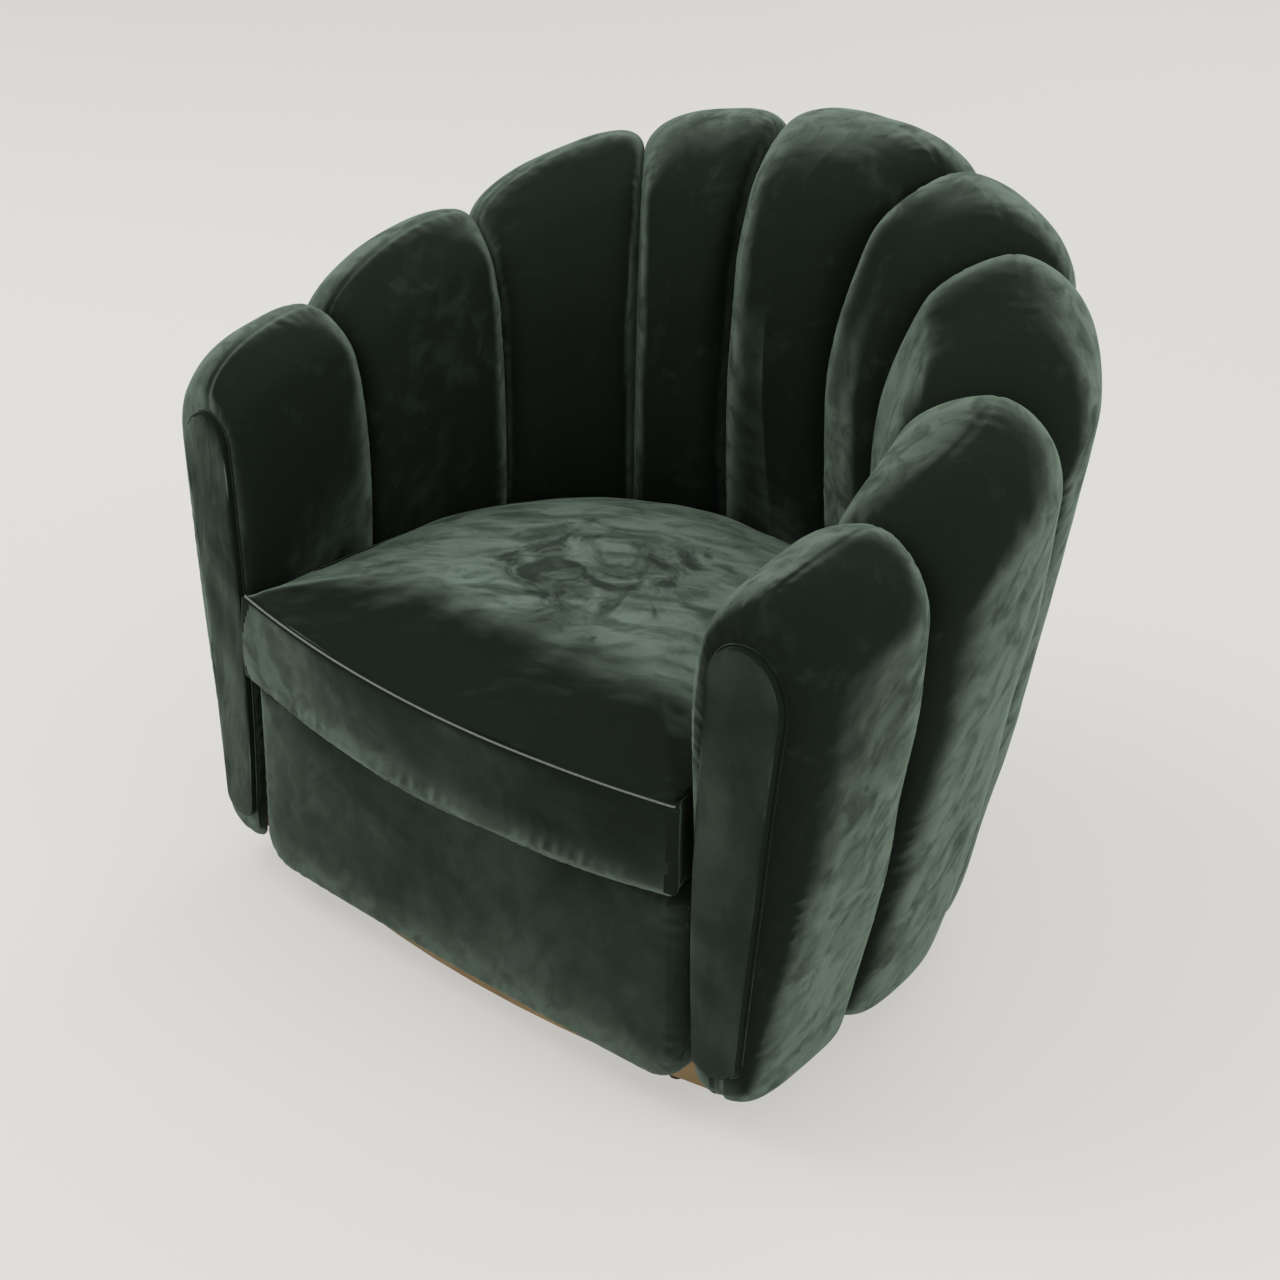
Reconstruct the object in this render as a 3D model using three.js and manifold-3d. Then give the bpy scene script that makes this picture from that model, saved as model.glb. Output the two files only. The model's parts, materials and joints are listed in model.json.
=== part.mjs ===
// A velvet tub armchair with nine upright padded channels, in millimetres, +Z up.
// The chair faces -Y. The origin is the middle of its footprint, on the floor.
// "left" is the -X side, as seen by someone who stands in front of the chair.

import * as THREE from 'three';
import { mergeVertices } from 'three/addons/utils/BufferGeometryUtils.js';
import Module from 'manifold-3d';

const wasm = await Module();
wasm.setup();

// Clearances
const seatGap = 0.3; // between a piece and what it rests on
const liftGap = 1.5; // round the loose cushion, so that it lifts out
const overrun = 5; // how far a cutting shape reaches past what it cuts

// The wall's middle line in plan: a round back that runs out into two nearly straight arms
const backRadius = 348;
const backHalfArc = THREE.MathUtils.degToRad(83.7);
const armRadius = 1493;
const backCentreY = -111.2;

// Widths of the channels along the middle line
const centreWidth = 189;
const nearWidth = 131;
const rearWidth = 170;
const foreWidth = 199;
const armWidth = 186;

// Heights of the seams between the channels, and how far each channel's top arches over them
const centreSeamHeight = 749;
const nearSeamHeight = 723;
const rearSeamHeight = 654;
const foreSeamHeight = 592;
const facingHeight = 566;
const centreRise = 60;
const nearRise = 48;
const rearRise = 46;
const foreRise = 45;
const armRise = 48;

// How the wall leans out with height, at the middle of the back, half way along and at the arms
const leanLevel = 432; // where the middle line above is measured
const backSlope = 0.054;
const sideSlope = 0.118;
const armSlope = 0.052;
const backFlareRadius = 1636;
const armFlareRadius = 4909;

// Padding: the section of the wall, half a thickness to each side of its middle surface
const footHalfThickness = 21;
const topHalfThickness = 31;
const fullThicknessHeight = 345;
const outerFlareThickness = 22; // more padding outside, full at the facing's height
const flareLimitShare = 1.3; // and how much further it grows above that height
const backExtraThickness = 25; // more padding at the back than at the arms
const innerBackBulge = 70;
const innerArmBulge = 28;
const outerBackBulge = 57;
const outerArmBulge = 36;
const innerFillFoot = 275; // height from which the inner faces are stuffed out
const innerBulgePower = 0.52;
const innerBulgeSkew = -1;
const outerBulgePower = 0.47;
const outerBulgeSkew = -0.37;
const innerSeamShare = 0.52; // share of the thickness that is left in a seam
const outerSeamShare = 0.45;
const archPower = 3.8; // how square the channels' bulges are across
const topArchPower = 2.9; // and how square their tops are
const topPeakShare = 0.13; // how far a side channel's top peaks towards the back, of half its width
const innerTopRoundShare = 0.97; // height of the round top inside, of the half thickness
const outerTopRoundShare = 1.34; // and outside
const footClearance = 33;
const footArch = 40;
const footRound = 16;
const footFlatShare = 0.9;
const facingTurn = THREE.MathUtils.degToRad(12.1); // the arms' ends look a little outwards

// Plywood staves inside the channels
const staveThickness = 12;
const staveEdgeMargin = 26;
const staveTopMargin = 62;
const staveFootHeight = 48;
const armStaveFrontMargin = 16;
const armNoseThickness = 12; // of the padding that closes the arm's inner front below the seat

// Arm facings
const facingBoardThickness = 4;
const facingPadThickness = 4;
const facingEdgeInset = 5;
const facingEdgeRound = 2;

// Plinth and glides
const glideHeight = 4;
const glideRadius = 8;
const glideInset = 46;
const backGlideAlong = 250; // the back glides' places, along the wall from its middle
const plinthHeight = 36;
const plinthThickness = 18;
const plinthSideSetback = 49.8; // from the arms' middle line to the front corners
const plinthSetback = 53.8; // from the front of the arms to the front corners
const plinthBow = 34;
const plinthInset = 49;
const plinthBackShare = 0.6; // of the back's round, before the side pieces begin

// Frame hoops, rails and posts
const baseHoopWidth = 74;
const baseHoopHeight = 24;
const seatHoopWidth = 42;
const seatHoopHeight = 42;
const railSetback = 55; // from the front of the arms to the back of the front rails
const postWidth = 44;
const postDepth = 19;
const postInset = 30;

// Springs, deck and dust cover
const springCount = 5;
const springPitch = 92;
const springWaves = 6;
const springLoopHalfWidth = 22;
const springWireRadius = 1.9;
const springEndLength = 20;
const springRest = 24; // how much of a spring's end lies on the front rail
const clipStripWidth = 16;
const clipStripThickness = 1.5;
const deckThickness = 2;
const dustCoverThickness = 1;
const dustCoverMargin = 2;

// Seat cushion
const cushionHeight = 108;
const cushionEdgeHeight = 377;
const cushionOverhang = 16.7; // of its front corners, ahead of the front of the arms
const cushionTopBow = 37;
const cushionFootBow = 43;
const cushionCrown = 42;
const crownPower = 0.78;
const crownSetback = 40; // of the crown's peak, behind the centre of the back's round
const cushionCornerGap = 4; // between its front corners and the arms' rounded fronts
const cushionEdgeRound = 9;
const cushionSideSwell = 4;
const cushionWrapThickness = 16;
const coreGap = 0.5;
const zipHalfWidth = 150;
const zipHeight = 14;
const pipingRadius = 1.7;
const pipingSpanShare = 0.97; // of the cushion's front edge

// Front panel
const panelArmDepth = 53.2; // from the arms' middle line to the panel's ends
const panelOverhang = 0.2; // of its ends, before its bow and puff, ahead of the front of the arms
const panelBow = 7;
const panelPuff = 13;
const panelPadThickness = 27;
const panelBoardThickness = 9;
const panelFootHeight = 33;
const panelCornerRadius = 42;
const panelTopCorner = 14;
const panelBoardMargin = 10;

// Steps in the meshes
const channelColumns = 10;
const columnCrowdingShare = 0.6; // how far a channel's columns gather towards its seams
const footShares = [0, 0.35, 1];
const bodyShares = [0.3, 0.55, 0.8];
const topTurnShares = [0, 0.33, 0.62, 0.84, 1];
const staveColumns = 4;
const staveRows = 4;
const reachRows = 6; // heights at which the cushion's room inside the wall is taken
const hoopSteps = 10;
const glideSides = 16;
const springSides = 4;
const stepsPerWave = 6;
const cushionSideSteps = 12;
const cushionCrowdingShare = 0.8; // how far the side's steps gather towards the front
const cushionFrontSteps = 10;
const cushionFootShare = 0.5;
const cushionTopShares = [0.9, 0.72, 0.48, 0.24];
const clothSteps = 14;
const pipingSteps = 20;
const pipingSides = 8;
const panelColumns = 14;
const panelRows = 8;
const panelCrowdingShare = 0.75; // how far its columns gather towards its ends
const panelSidePower = 8; // how quickly the puff falls off at the ends
const panelEdgePower = 6; // and at the top and the foot

const velvet = { color: 0x24332b, roughness: 0.85, metalness: 0 };
const velvetLight = { color: 0x8d978b, roughness: 0.8, metalness: 0 };
const timber = { color: 0xb8935f, roughness: 0.7, metalness: 0 };
const plywood = { color: 0xc7a777, roughness: 0.75, metalness: 0 };
const plinthMetal = { color: 0x8c7048, roughness: 0.35, metalness: 0.9 };
const springSteel = { color: 0x8a8c8e, roughness: 0.4, metalness: 0.9 };
const blackCloth = { color: 0x202022, roughness: 0.95, metalness: 0 };
const deckCloth = { color: 0x2b302c, roughness: 0.95, metalness: 0 };
const foam = { color: 0xd9cfae, roughness: 0.95, metalness: 0 };
const nylon = { color: 0x1c1c1c, roughness: 0.5, metalness: 0 };

const chair = new THREE.Group();

const { clamp, lerp } = THREE.MathUtils;

function addMesh(name, geometry, finish) {
  const mesh = new THREE.Mesh(geometry, new THREE.MeshStandardMaterial(finish));
  mesh.name = name;
  chair.add(mesh);
  return mesh;
}

// Levels that several pieces share
const plinthFoot = glideHeight + seatGap;
const plinthTop = plinthFoot + plinthHeight;
const baseHoopFoot = plinthTop + seatGap;
const baseHoopTop = baseHoopFoot + baseHoopHeight;
const cushionFoot = cushionEdgeHeight - cushionHeight;
const deckTop = cushionFoot - seatGap;
const deckFoot = deckTop - deckThickness;
const clipStripFoot = deckFoot - seatGap - clipStripThickness;
const springAxisHeight = clipStripFoot - seatGap - springWireRadius;
const seatHoopTop = springAxisHeight - springWireRadius - seatGap;
const seatHoopFoot = seatHoopTop - seatHoopHeight;

const wallLength = centreWidth / 2 + nearWidth + rearWidth + foreWidth + armWidth;

// The wall

function wallPlan(along) {
  const backLength = backHalfArc * backRadius;
  const turn = along < backLength ? along / backRadius : backHalfArc + (along - backLength) / armRadius;
  const backTurn = Math.min(turn, backHalfArc);
  const x = backRadius * Math.sin(backTurn) + armRadius * (Math.sin(turn) - Math.sin(backTurn));
  const y = backRadius * Math.cos(backTurn) + armRadius * (Math.cos(turn) - Math.cos(backTurn));
  return { x, y: y + backCentreY, outX: Math.sin(turn), outY: Math.cos(turn) };
}

function wallShare(along) {
  return clamp(Math.abs(along) / wallLength, 0, 1);
}

// How far the middle surface stands out from the middle line at a height
function wallLean(along, height) {
  const share = wallShare(along);
  const slope = backSlope * (1 - share) * (1 - 2 * share)
    + sideSlope * 4 * share * (1 - share)
    + armSlope * share * (2 * share - 1);
  const curve = lerp(1 / (2 * backFlareRadius), 1 / (2 * armFlareRadius), share);
  const over = height - leanLevel;
  return slope * over + curve * over * over;
}

// A point at a length along the wall, a distance out from its middle surface, and a height
function wallPoint(along, out, height) {
  const plan = wallPlan(Math.abs(along));
  const reach = wallLean(along, height) + out;
  const x = plan.x + reach * plan.outX;
  return new THREE.Vector3(along < 0 ? -x : x, plan.y + reach * plan.outY, height);
}

// The length along the wall at which an arm's middle line reaches a distance forward
function alongAtY(y) {
  const straight = backRadius * Math.cos(backHalfArc);
  const turn = Math.acos(Math.cos(backHalfArc) + (y - backCentreY - straight) / armRadius);
  return backHalfArc * backRadius + armRadius * (turn - backHalfArc);
}

// Solids from sections: each section has two sides of equally many points, foot to top

function loft(sections) {
  const rows = sections[0].outer.length;
  const ring = 2 * rows;
  const positions = [];
  const triangles = [];
  const quad = (a, b, c, d) => triangles.push([a, b, c], [a, c, d]);
  for (const section of sections) {
    for (const point of [...section.outer, ...[...section.inner].reverse()]) {
      positions.push(point.x, point.y, point.z);
    }
  }
  for (let i = 0; i < sections.length - 1; i += 1) {
    for (let j = 0; j < ring; j += 1) {
      const next = (j + 1) % ring;
      quad(i * ring + j, i * ring + next, (i + 1) * ring + next, (i + 1) * ring + j);
    }
  }
  const last = (sections.length - 1) * ring;
  for (let j = 0; j < rows - 1; j += 1) {
    quad(j, ring - 1 - j, ring - 2 - j, j + 1);
    quad(last + j, last + j + 1, last + ring - 2 - j, last + ring - 1 - j);
  }
  return closedGeometry(positions, triangles);
}

// Merges shared points, drops triangles that came to nothing, and turns the faces outwards
function closedGeometry(positions, triangles) {
  const loose = new THREE.BufferGeometry();
  loose.setAttribute('position', new THREE.Float32BufferAttribute(positions, 3));
  loose.setIndex(triangles.flat());
  const merged = mergeVertices(loose, seatGap / 100);
  const index = [...merged.index.array];
  const kept = [];
  for (let i = 0; i < index.length; i += 3) {
    const [a, b, c] = index.slice(i, i + 3);
    if (a !== b && b !== c && c !== a) {
      kept.push(a, b, c);
    }
  }
  if (signedVolume(merged.attributes.position, kept) < 0) {
    kept.reverse();
  }
  merged.setIndex(kept);
  return merged;
}

function signedVolume(position, index) {
  const [a, b, c] = [new THREE.Vector3(), new THREE.Vector3(), new THREE.Vector3()];
  let volume = 0;
  for (let i = 0; i < index.length; i += 3) {
    a.fromBufferAttribute(position, index[i]);
    b.fromBufferAttribute(position, index[i + 1]);
    c.fromBufferAttribute(position, index[i + 2]);
    volume += a.dot(b.cross(c)) / 6;
  }
  return volume;
}

function solidOf(geometry) {
  const bare = new THREE.BufferGeometry();
  bare.setAttribute('position', geometry.attributes.position);
  bare.setIndex(geometry.index);
  const merged = mergeVertices(bare, seatGap / 100);
  return new wasm.Manifold(new wasm.Mesh({
    numProp: 3,
    vertProperties: new Float32Array(merged.attributes.position.array),
    triVerts: new Uint32Array(merged.index.array),
  }));
}

function geometryOf(solid) {
  const mesh = solid.getMesh();
  const geometry = new THREE.BufferGeometry();
  geometry.setAttribute('position', new THREE.Float32BufferAttribute(mesh.vertProperties, 3));
  geometry.setIndex([...mesh.triVerts]);
  return geometry;
}

function cut(geometry, ...tools) {
  return geometryOf(tools.reduce((solid, tool) => solid.subtract(solidOf(tool)), solidOf(geometry)));
}

function mirrored(geometry) {
  const other = geometry.clone();
  const position = other.attributes.position;
  for (let i = 0; i < position.count; i += 1) {
    position.setX(i, -position.getX(i));
  }
  other.setIndex([...other.index.array].reverse());
  return other;
}

function steps(count) {
  return Array.from({ length: count + 1 }, (_, i) => i / count);
}

// The channels

// Half the thickness of the wall to one side, without the bulge
function halfThickness(along, height, outside) {
  const grown = Math.sin((Math.PI / 2) * clamp(height / fullThicknessHeight, 0, 1));
  const base = lerp(footHalfThickness, topHalfThickness, grown)
    + backExtraThickness * (1 - wallShare(along));
  return outside ? base + outerFlareThickness * clamp(height / facingHeight, 0, flareLimitShare) : base;
}

function fullBulge(along, outside) {
  const share = wallShare(along);
  return outside
    ? lerp(outerBackBulge, outerArmBulge, share)
    : lerp(innerBackBulge, innerArmBulge, share);
}

// How much of its full bulge a side has at a height between the foot of its stuffing and its top
function bulgeRise(height, fillFoot, top, outside) {
  const skew = outside ? outerBulgeSkew : innerBulgeSkew;
  const power = outside ? outerBulgePower : innerBulgePower;
  const share = clamp((height - fillFoot) / (top - fillFoot), 0, 1);
  return Math.sin(Math.PI * clamp(share + skew * share * (1 - share), 0, 1)) ** power;
}

function archShare(across, power = archPower) {
  return Math.max(1 - Math.abs(across) ** power, 0) ** (1 / power);
}

// Height of a channel's top at a place across it
function channelTop(channel, across) {
  const peak = channel.from < 0 ? 0 : topPeakShare;
  const seam = lerp(channel.fromHeight, channel.toHeight, (across + 1) / 2);
  return seam + channel.rise * archShare(across + peak * (1 - across ** 2), topArchPower);
}

// One section across a channel, at a place from -1 to 1 between its two seams
function channelSection(channel, across, inset = 0) {
  const middle = (channel.from + channel.to) / 2;
  const along = middle + ((channel.to - channel.from) / 2) * across;
  const arch = archShare(across);
  const top = channelTop(channel, across) - inset;
  const foot = footClearance + footArch * (1 - arch) + inset;
  const side = (outside) => {
    const roundShare = outside ? outerTopRoundShare : innerTopRoundShare;
    const topRound = Math.min(roundShare * halfThickness(along, top, outside), (top - foot) / 2);
    const fillFoot = outside ? foot : innerFillFoot;
    return sectionHeights(foot, top, topRound).map((height) => {
      const plain = halfThickness(along, height, outside);
      const seamShare = outside ? outerSeamShare : innerSeamShare;
      const endShare = channel.open ? lerp(seamShare, 1, (across + 1) / 2) : seamShare;
      const swell = fullBulge(along, outside) * arch * bulgeRise(height, fillFoot, top, outside);
      const full = plain * (endShare + (1 - endShare) * arch) + swell - inset;
      const out = (outside ? 1 : -1) * full * roundedEnds(height, foot, top, topRound);
      const skewShare = channel.open ? ((across + 1) / 2) ** 2 : 0;
      return wallPoint(along - out * Math.tan(facingTurn) * skewShare, out, height);
    });
  };
  return { outer: side(true), inner: side(false) };
}

function sectionHeights(foot, top, topRound) {
  const bodyFoot = foot + footRound;
  const bodyTop = top - topRound;
  return [
    ...footShares.map((share) => foot + footRound * share),
    ...bodyShares.map((share) => lerp(bodyFoot, bodyTop, share)),
    ...topTurnShares.map((share) => bodyTop + topRound * Math.sin((share * Math.PI) / 2)),
  ];
}

// Draws a section in towards its round top and its rounded foot
function roundedEnds(height, foot, top, topRound) {
  const topDepth = clamp((height - (top - topRound)) / topRound, 0, 1);
  const footDepth = clamp((foot + footRound - height) / footRound, 0, 1);
  return Math.sqrt(1 - topDepth ** 2) * Math.sqrt(1 - footFlatShare * footDepth ** 2);
}

function channelGeometry(channel) {
  const places = steps(channelColumns).map((share) => {
    const even = 2 * share - 1;
    return lerp(even, Math.sin((even * Math.PI) / 2), columnCrowdingShare);
  });
  return loft(places.map((across) => channelSection(channel, across)));
}

// A stave's places along the wall and its heights, with the ends pushed out for the slot that it stands in
function stretched(values, room) {
  return room > 0 ? [values[0] - room, ...values, values[values.length - 1] + room] : values;
}

function staveGeometry(channel, clearance, footRoom = clearance) {
  const half = staveThickness / 2 + clearance;
  const from = channel.from + staveEdgeMargin;
  const to = channel.to - (channel.open ? armStaveFrontMargin : staveEdgeMargin);
  const middle = (channel.from + channel.to) / 2;
  const places = stretched(steps(staveColumns).map((share) => lerp(from, to, share)), clearance);
  return loft(places.map((along) => {
    const across = (clamp(along, from, to) - middle) / ((channel.to - channel.from) / 2);
    const top = channelTop(channel, across) - staveTopMargin;
    const heights = stretched(steps(staveRows).map((rise) => lerp(staveFootHeight, top, rise)), clearance);
    heights[0] -= footRoom;
    const side = (out) => heights.map((height) => wallPoint(along, out, height));
    return { outer: side(half), inner: side(-half) };
  }));
}

// The room inside the staves and under the deck, where the frame goes
function underSeatGeometry(channel) {
  const depth = 3 * topHalfThickness + innerBackBulge;
  const from = channel.from - overrun;
  const to = channel.open ? channel.to - armNoseThickness : channel.to + overrun;
  return loft(steps(staveColumns).map((share) => {
    const along = lerp(from, to, share);
    const side = (out) => steps(staveRows)
      .map((rise) => wallPoint(along, out, lerp(-overrun, deckTop + seatGap, rise)));
    return { outer: side(0), inner: side(-depth) };
  }));
}

const halfCentre = centreWidth / 2;
const nearEnd = halfCentre + nearWidth;
const rearEnd = nearEnd + rearWidth;
const foreEnd = rearEnd + foreWidth;
const armTip = wallPlan(foreEnd + armWidth);
const frontOfArms = armTip.y;
const facingStack = facingBoardThickness + facingPadThickness + 2 * seatGap;
const armEnd = foreEnd + armWidth - facingStack;

// A channel runs between two seams; an open one has no seam at its far end
function channelSpan(name, from, to, fromHeight, toHeight, rise, open = false) {
  return { name, from, to, fromHeight, toHeight, rise, open };
}

const sideChannels = [
  channelSpan('near', halfCentre, nearEnd, centreSeamHeight, nearSeamHeight, nearRise),
  channelSpan('rear', nearEnd, rearEnd, nearSeamHeight, rearSeamHeight, rearRise),
  channelSpan('fore', rearEnd, foreEnd, rearSeamHeight, foreSeamHeight, foreRise),
  channelSpan('arm', foreEnd, armEnd, foreSeamHeight, facingHeight, armRise, true),
];
const centreChannel = channelSpan(
  'centre', -halfCentre, halfCentre, centreSeamHeight, centreSeamHeight, centreRise,
);

function paddedChannel(channel) {
  const room = {
    ...channel,
    from: channel.from + seatGap / 2,
    to: channel.to - (channel.open ? 0 : seatGap / 2),
  };
  const slot = staveGeometry(channel, seatGap, staveFootHeight);
  return cut(channelGeometry(room), slot, underSeatGeometry(channel));
}

function addChannels() {
  addMesh('channel_centre', paddedChannel(centreChannel), velvet);
  addMesh('stave_centre', staveGeometry(centreChannel, 0), plywood);
  for (const channel of sideChannels) {
    const pad = paddedChannel(channel);
    const stave = staveGeometry(channel, 0);
    addMesh(`channel_right_${channel.name}`, pad, velvet);
    addMesh(`channel_left_${channel.name}`, mirrored(pad), velvet);
    addMesh(`stave_right_${channel.name}`, stave, plywood);
    addMesh(`stave_left_${channel.name}`, mirrored(stave), plywood);
  }
}

// The facings on the arms' ends: a board against the channel, and a padded cover on it

function facingGeometry(start, thickness, insets) {
  const arm = sideChannels[sideChannels.length - 1];
  return loft(insets.map(({ depthShare, inset }) => {
    const end = armEnd + start + thickness * depthShare;
    return channelSection({ ...arm, to: end, from: end - armWidth }, 1, inset);
  }));
}

function addFacings() {
  const board = facingGeometry(seatGap, facingBoardThickness, [
    { depthShare: 0, inset: facingEdgeInset },
    { depthShare: 1, inset: facingEdgeInset },
  ]);
  const pad = facingGeometry(2 * seatGap + facingBoardThickness, facingPadThickness, [
    { depthShare: 0, inset: facingEdgeInset },
    { depthShare: 0.7, inset: facingEdgeInset },
    { depthShare: 1, inset: facingEdgeInset + facingEdgeRound },
  ]);
  addMesh('facing_board_right', board, plywood);
  addMesh('facing_board_left', mirrored(board), plywood);
  addMesh('arm_facing_right', pad, velvet);
  addMesh('arm_facing_left', mirrored(pad), velvet);
}

// Plinth and frame: ribbons that follow the wall, and rails across the front

// The least reach of the staves' inner faces over a height range
function innerReach(along, foot, top) {
  const leans = steps(staveRows).map((rise) => wallLean(along, lerp(foot, top, rise)));
  return Math.min(...leans) - staveThickness / 2 - chordRoom(along);
}

// Room for the flat facets of a stave, which stand in from the true curve
function chordRoom(along) {
  const radius = Math.abs(along) < backHalfArc * backRadius ? backRadius : armRadius;
  const facet = foreWidth / staveColumns;
  return (facet * facet) / (8 * radius) + seatGap;
}

function ribbon(fromAlong, toAlong, foot, top, reach, width, count = hoopSteps) {
  return loft(steps(count).map((share) => {
    const along = lerp(fromAlong, toAlong, share);
    const plan = wallPlan(Math.abs(along));
    const side = (out) => [foot, top].map((height) => {
      const x = plan.x + out * plan.outX;
      return new THREE.Vector3(along < 0 ? -x : x, plan.y + out * plan.outY, height);
    });
    return { outer: side(reach(along)), inner: side(reach(along) - width) };
  }));
}

const railBack = frontOfArms + railSetback;

function hoopGeometry(foot, height, width) {
  const reach = (along) => innerReach(along, foot, foot + height);
  return ribbon(seatGap / 2, alongAtY(railBack + seatGap), foot, foot + height, reach, width);
}

function addHoops() {
  const base = hoopGeometry(baseHoopFoot, baseHoopHeight, baseHoopWidth);
  const seat = hoopGeometry(seatHoopFoot, seatHoopHeight, seatHoopWidth);
  addMesh('base_hoop_right', base, timber);
  addMesh('base_hoop_left', mirrored(base), timber);
  addMesh('seat_hoop_right', seat, timber);
  addMesh('seat_hoop_left', mirrored(seat), timber);
}

const panelHalfWidth = armTip.x - panelArmDepth;
const panelFrontY = frontOfArms - panelOverhang;

// The panel's front line in plan, without its puff
function panelLine(x) {
  return panelFrontY - panelBow * (1 - (x / panelHalfWidth) ** 2);
}

function railGeometry(foot, height, halfWidth, frontY) {
  return loft(steps(hoopSteps).map((share) => {
    const x = lerp(-halfWidth, halfWidth, share);
    const side = (y) => [foot, foot + height].map((z) => new THREE.Vector3(x, y, z));
    return { outer: side(railBack), inner: side(frontY(x)) };
  }));
}

const boardBackDepth = panelPadThickness + panelBoardThickness + 2 * seatGap;

function addFrontRails() {
  const behindBoard = (x) => panelLine(x) + boardBackDepth;
  const along = alongAtY(railBack);
  const halfAt = (foot, height) => wallPlan(along).x + innerReach(along, foot, foot + height);
  addMesh(
    'base_front_rail',
    railGeometry(baseHoopFoot, baseHoopHeight, halfAt(baseHoopFoot, baseHoopHeight), behindBoard),
    timber,
  );
  addMesh(
    'seat_front_rail',
    railGeometry(seatHoopFoot, seatHoopHeight, halfAt(seatHoopFoot, seatHoopHeight), behindBoard),
    timber,
  );
  const postHeight = seatHoopFoot - baseHoopTop - 2 * seatGap;
  const post = new THREE.BoxGeometry(postWidth, postDepth, postHeight);
  for (const [name, side] of [['left', -1], ['right', 1]]) {
    const mesh = addMesh(`front_post_${name}`, post, timber);
    const x = halfAt(baseHoopFoot, baseHoopHeight) - postInset - postWidth / 2;
    mesh.position.set(side * x, railBack - postDepth / 2, baseHoopTop + seatGap + postHeight / 2);
  }
}

const plinthFrontY = frontOfArms + plinthSetback;
const plinthHalfWidth = wallPlan(alongAtY(plinthFrontY)).x - plinthSideSetback;

function plinthFrontLine(x) {
  return plinthFrontY - plinthBow * (1 - (x / plinthHalfWidth) ** 2);
}

function plinthReach() {
  return -plinthInset;
}

function addPlinth() {
  const front = loft(steps(hoopSteps).map((share) => {
    const x = lerp(-plinthHalfWidth, plinthHalfWidth, share);
    const line = plinthFrontLine(x);
    const side = (y) => [plinthFoot, plinthTop].map((z) => new THREE.Vector3(x, y, z));
    return { outer: side(line + plinthThickness), inner: side(line) };
  }));
  const sideEnd = alongAtY(plinthFrontLine(plinthHalfWidth) + plinthThickness + seatGap);
  const backEnd = backHalfArc * backRadius * plinthBackShare;
  const side = ribbon(
    backEnd + seatGap, sideEnd, plinthFoot, plinthTop, plinthReach, plinthThickness,
  );
  const back = ribbon(-backEnd, backEnd, plinthFoot, plinthTop, plinthReach, plinthThickness);
  addMesh('plinth_front', front, plinthMetal);
  addMesh('plinth_right', side, plinthMetal);
  addMesh('plinth_left', mirrored(side), plinthMetal);
  addMesh('plinth_back', back, plinthMetal);
}

function addGlides() {
  const glide = new THREE.CylinderGeometry(glideRadius, glideRadius, glideHeight, glideSides);
  const frontX = plinthHalfWidth - glideInset;
  const frontY = plinthFrontLine(frontX) + plinthThickness / 2;
  const back = wallPlan(backGlideAlong);
  const backReach = plinthThickness / 2 + plinthInset;
  const backX = back.x - backReach * back.outX;
  const backY = back.y - backReach * back.outY;
  const places = [
    ['front_left', -frontX, frontY],
    ['front_right', frontX, frontY],
    ['back_left', -backX, backY],
    ['back_right', backX, backY],
  ];
  for (const [name, x, y] of places) {
    const mesh = addMesh(`glide_${name}`, glide, nylon);
    mesh.rotation.x = Math.PI / 2;
    mesh.position.set(x, y, glideHeight / 2);
  }
}

// Flat cloth inside the wall, from a reach along the wall to a front line
function clothGeometry(reach, frontY, foot, thickness, turnRoom = 0) {
  const end = alongAtY(frontY) - turnRoom;
  const right = steps(clothSteps).map((share) => {
    const plan = wallPlan(end * share);
    const out = reach(end * share);
    return new THREE.Vector2(plan.x + out * plan.outX, plan.y + out * plan.outY);
  });
  const left = right.slice(1).reverse().map((point) => new THREE.Vector2(-point.x, point.y));
  const shape = new THREE.Shape([...left, ...right]);
  const geometry = new THREE.ExtrudeGeometry(shape, { depth: thickness, bevelEnabled: false });
  geometry.translate(0, 0, foot);
  return closedFromExtrusion(geometry);
}

// An extrusion's triangles with their shared corners merged
function closedFromExtrusion(geometry) {
  const position = geometry.attributes.position;
  const triangles = steps(position.count / 3 - 1)
    .map((_, i) => [3 * i, 3 * i + 1, 3 * i + 2]);
  return closedGeometry([...position.array], triangles);
}

// A flat zigzag wire that runs from the front rail to the back of the seat hoop
class SpringPath extends THREE.Curve {
  constructor(x, frontY, backY) {
    super();
    this.x = x;
    this.frontY = frontY;
    this.backY = backY;
  }

  getPoint(share) {
    const length = this.backY - this.frontY;
    const run = share * length;
    const inner = clamp((run - springEndLength) / (length - 2 * springEndLength), 0, 1);
    const swing = springLoopHalfWidth * Math.sin(2 * Math.PI * springWaves * inner);
    return new THREE.Vector3(this.x + swing, this.frontY + run, springAxisHeight);
  }
}

function circleShape(radius, sides) {
  const corners = steps(sides).slice(1).map((share) => {
    const turn = 2 * Math.PI * share;
    return new THREE.Vector2(radius * Math.cos(turn), radius * Math.sin(turn));
  });
  return new THREE.Shape(corners);
}

// The back end of a spring rests on the seat hoop, which curves away from the middle
function hoopInnerY(x, depth) {
  const along = backRadius * Math.asin(x / (backRadius - depth));
  const plan = wallPlan(Math.abs(along));
  const reach = innerReach(along, seatHoopFoot, seatHoopTop) - depth;
  return plan.y + reach * plan.outY;
}

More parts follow.
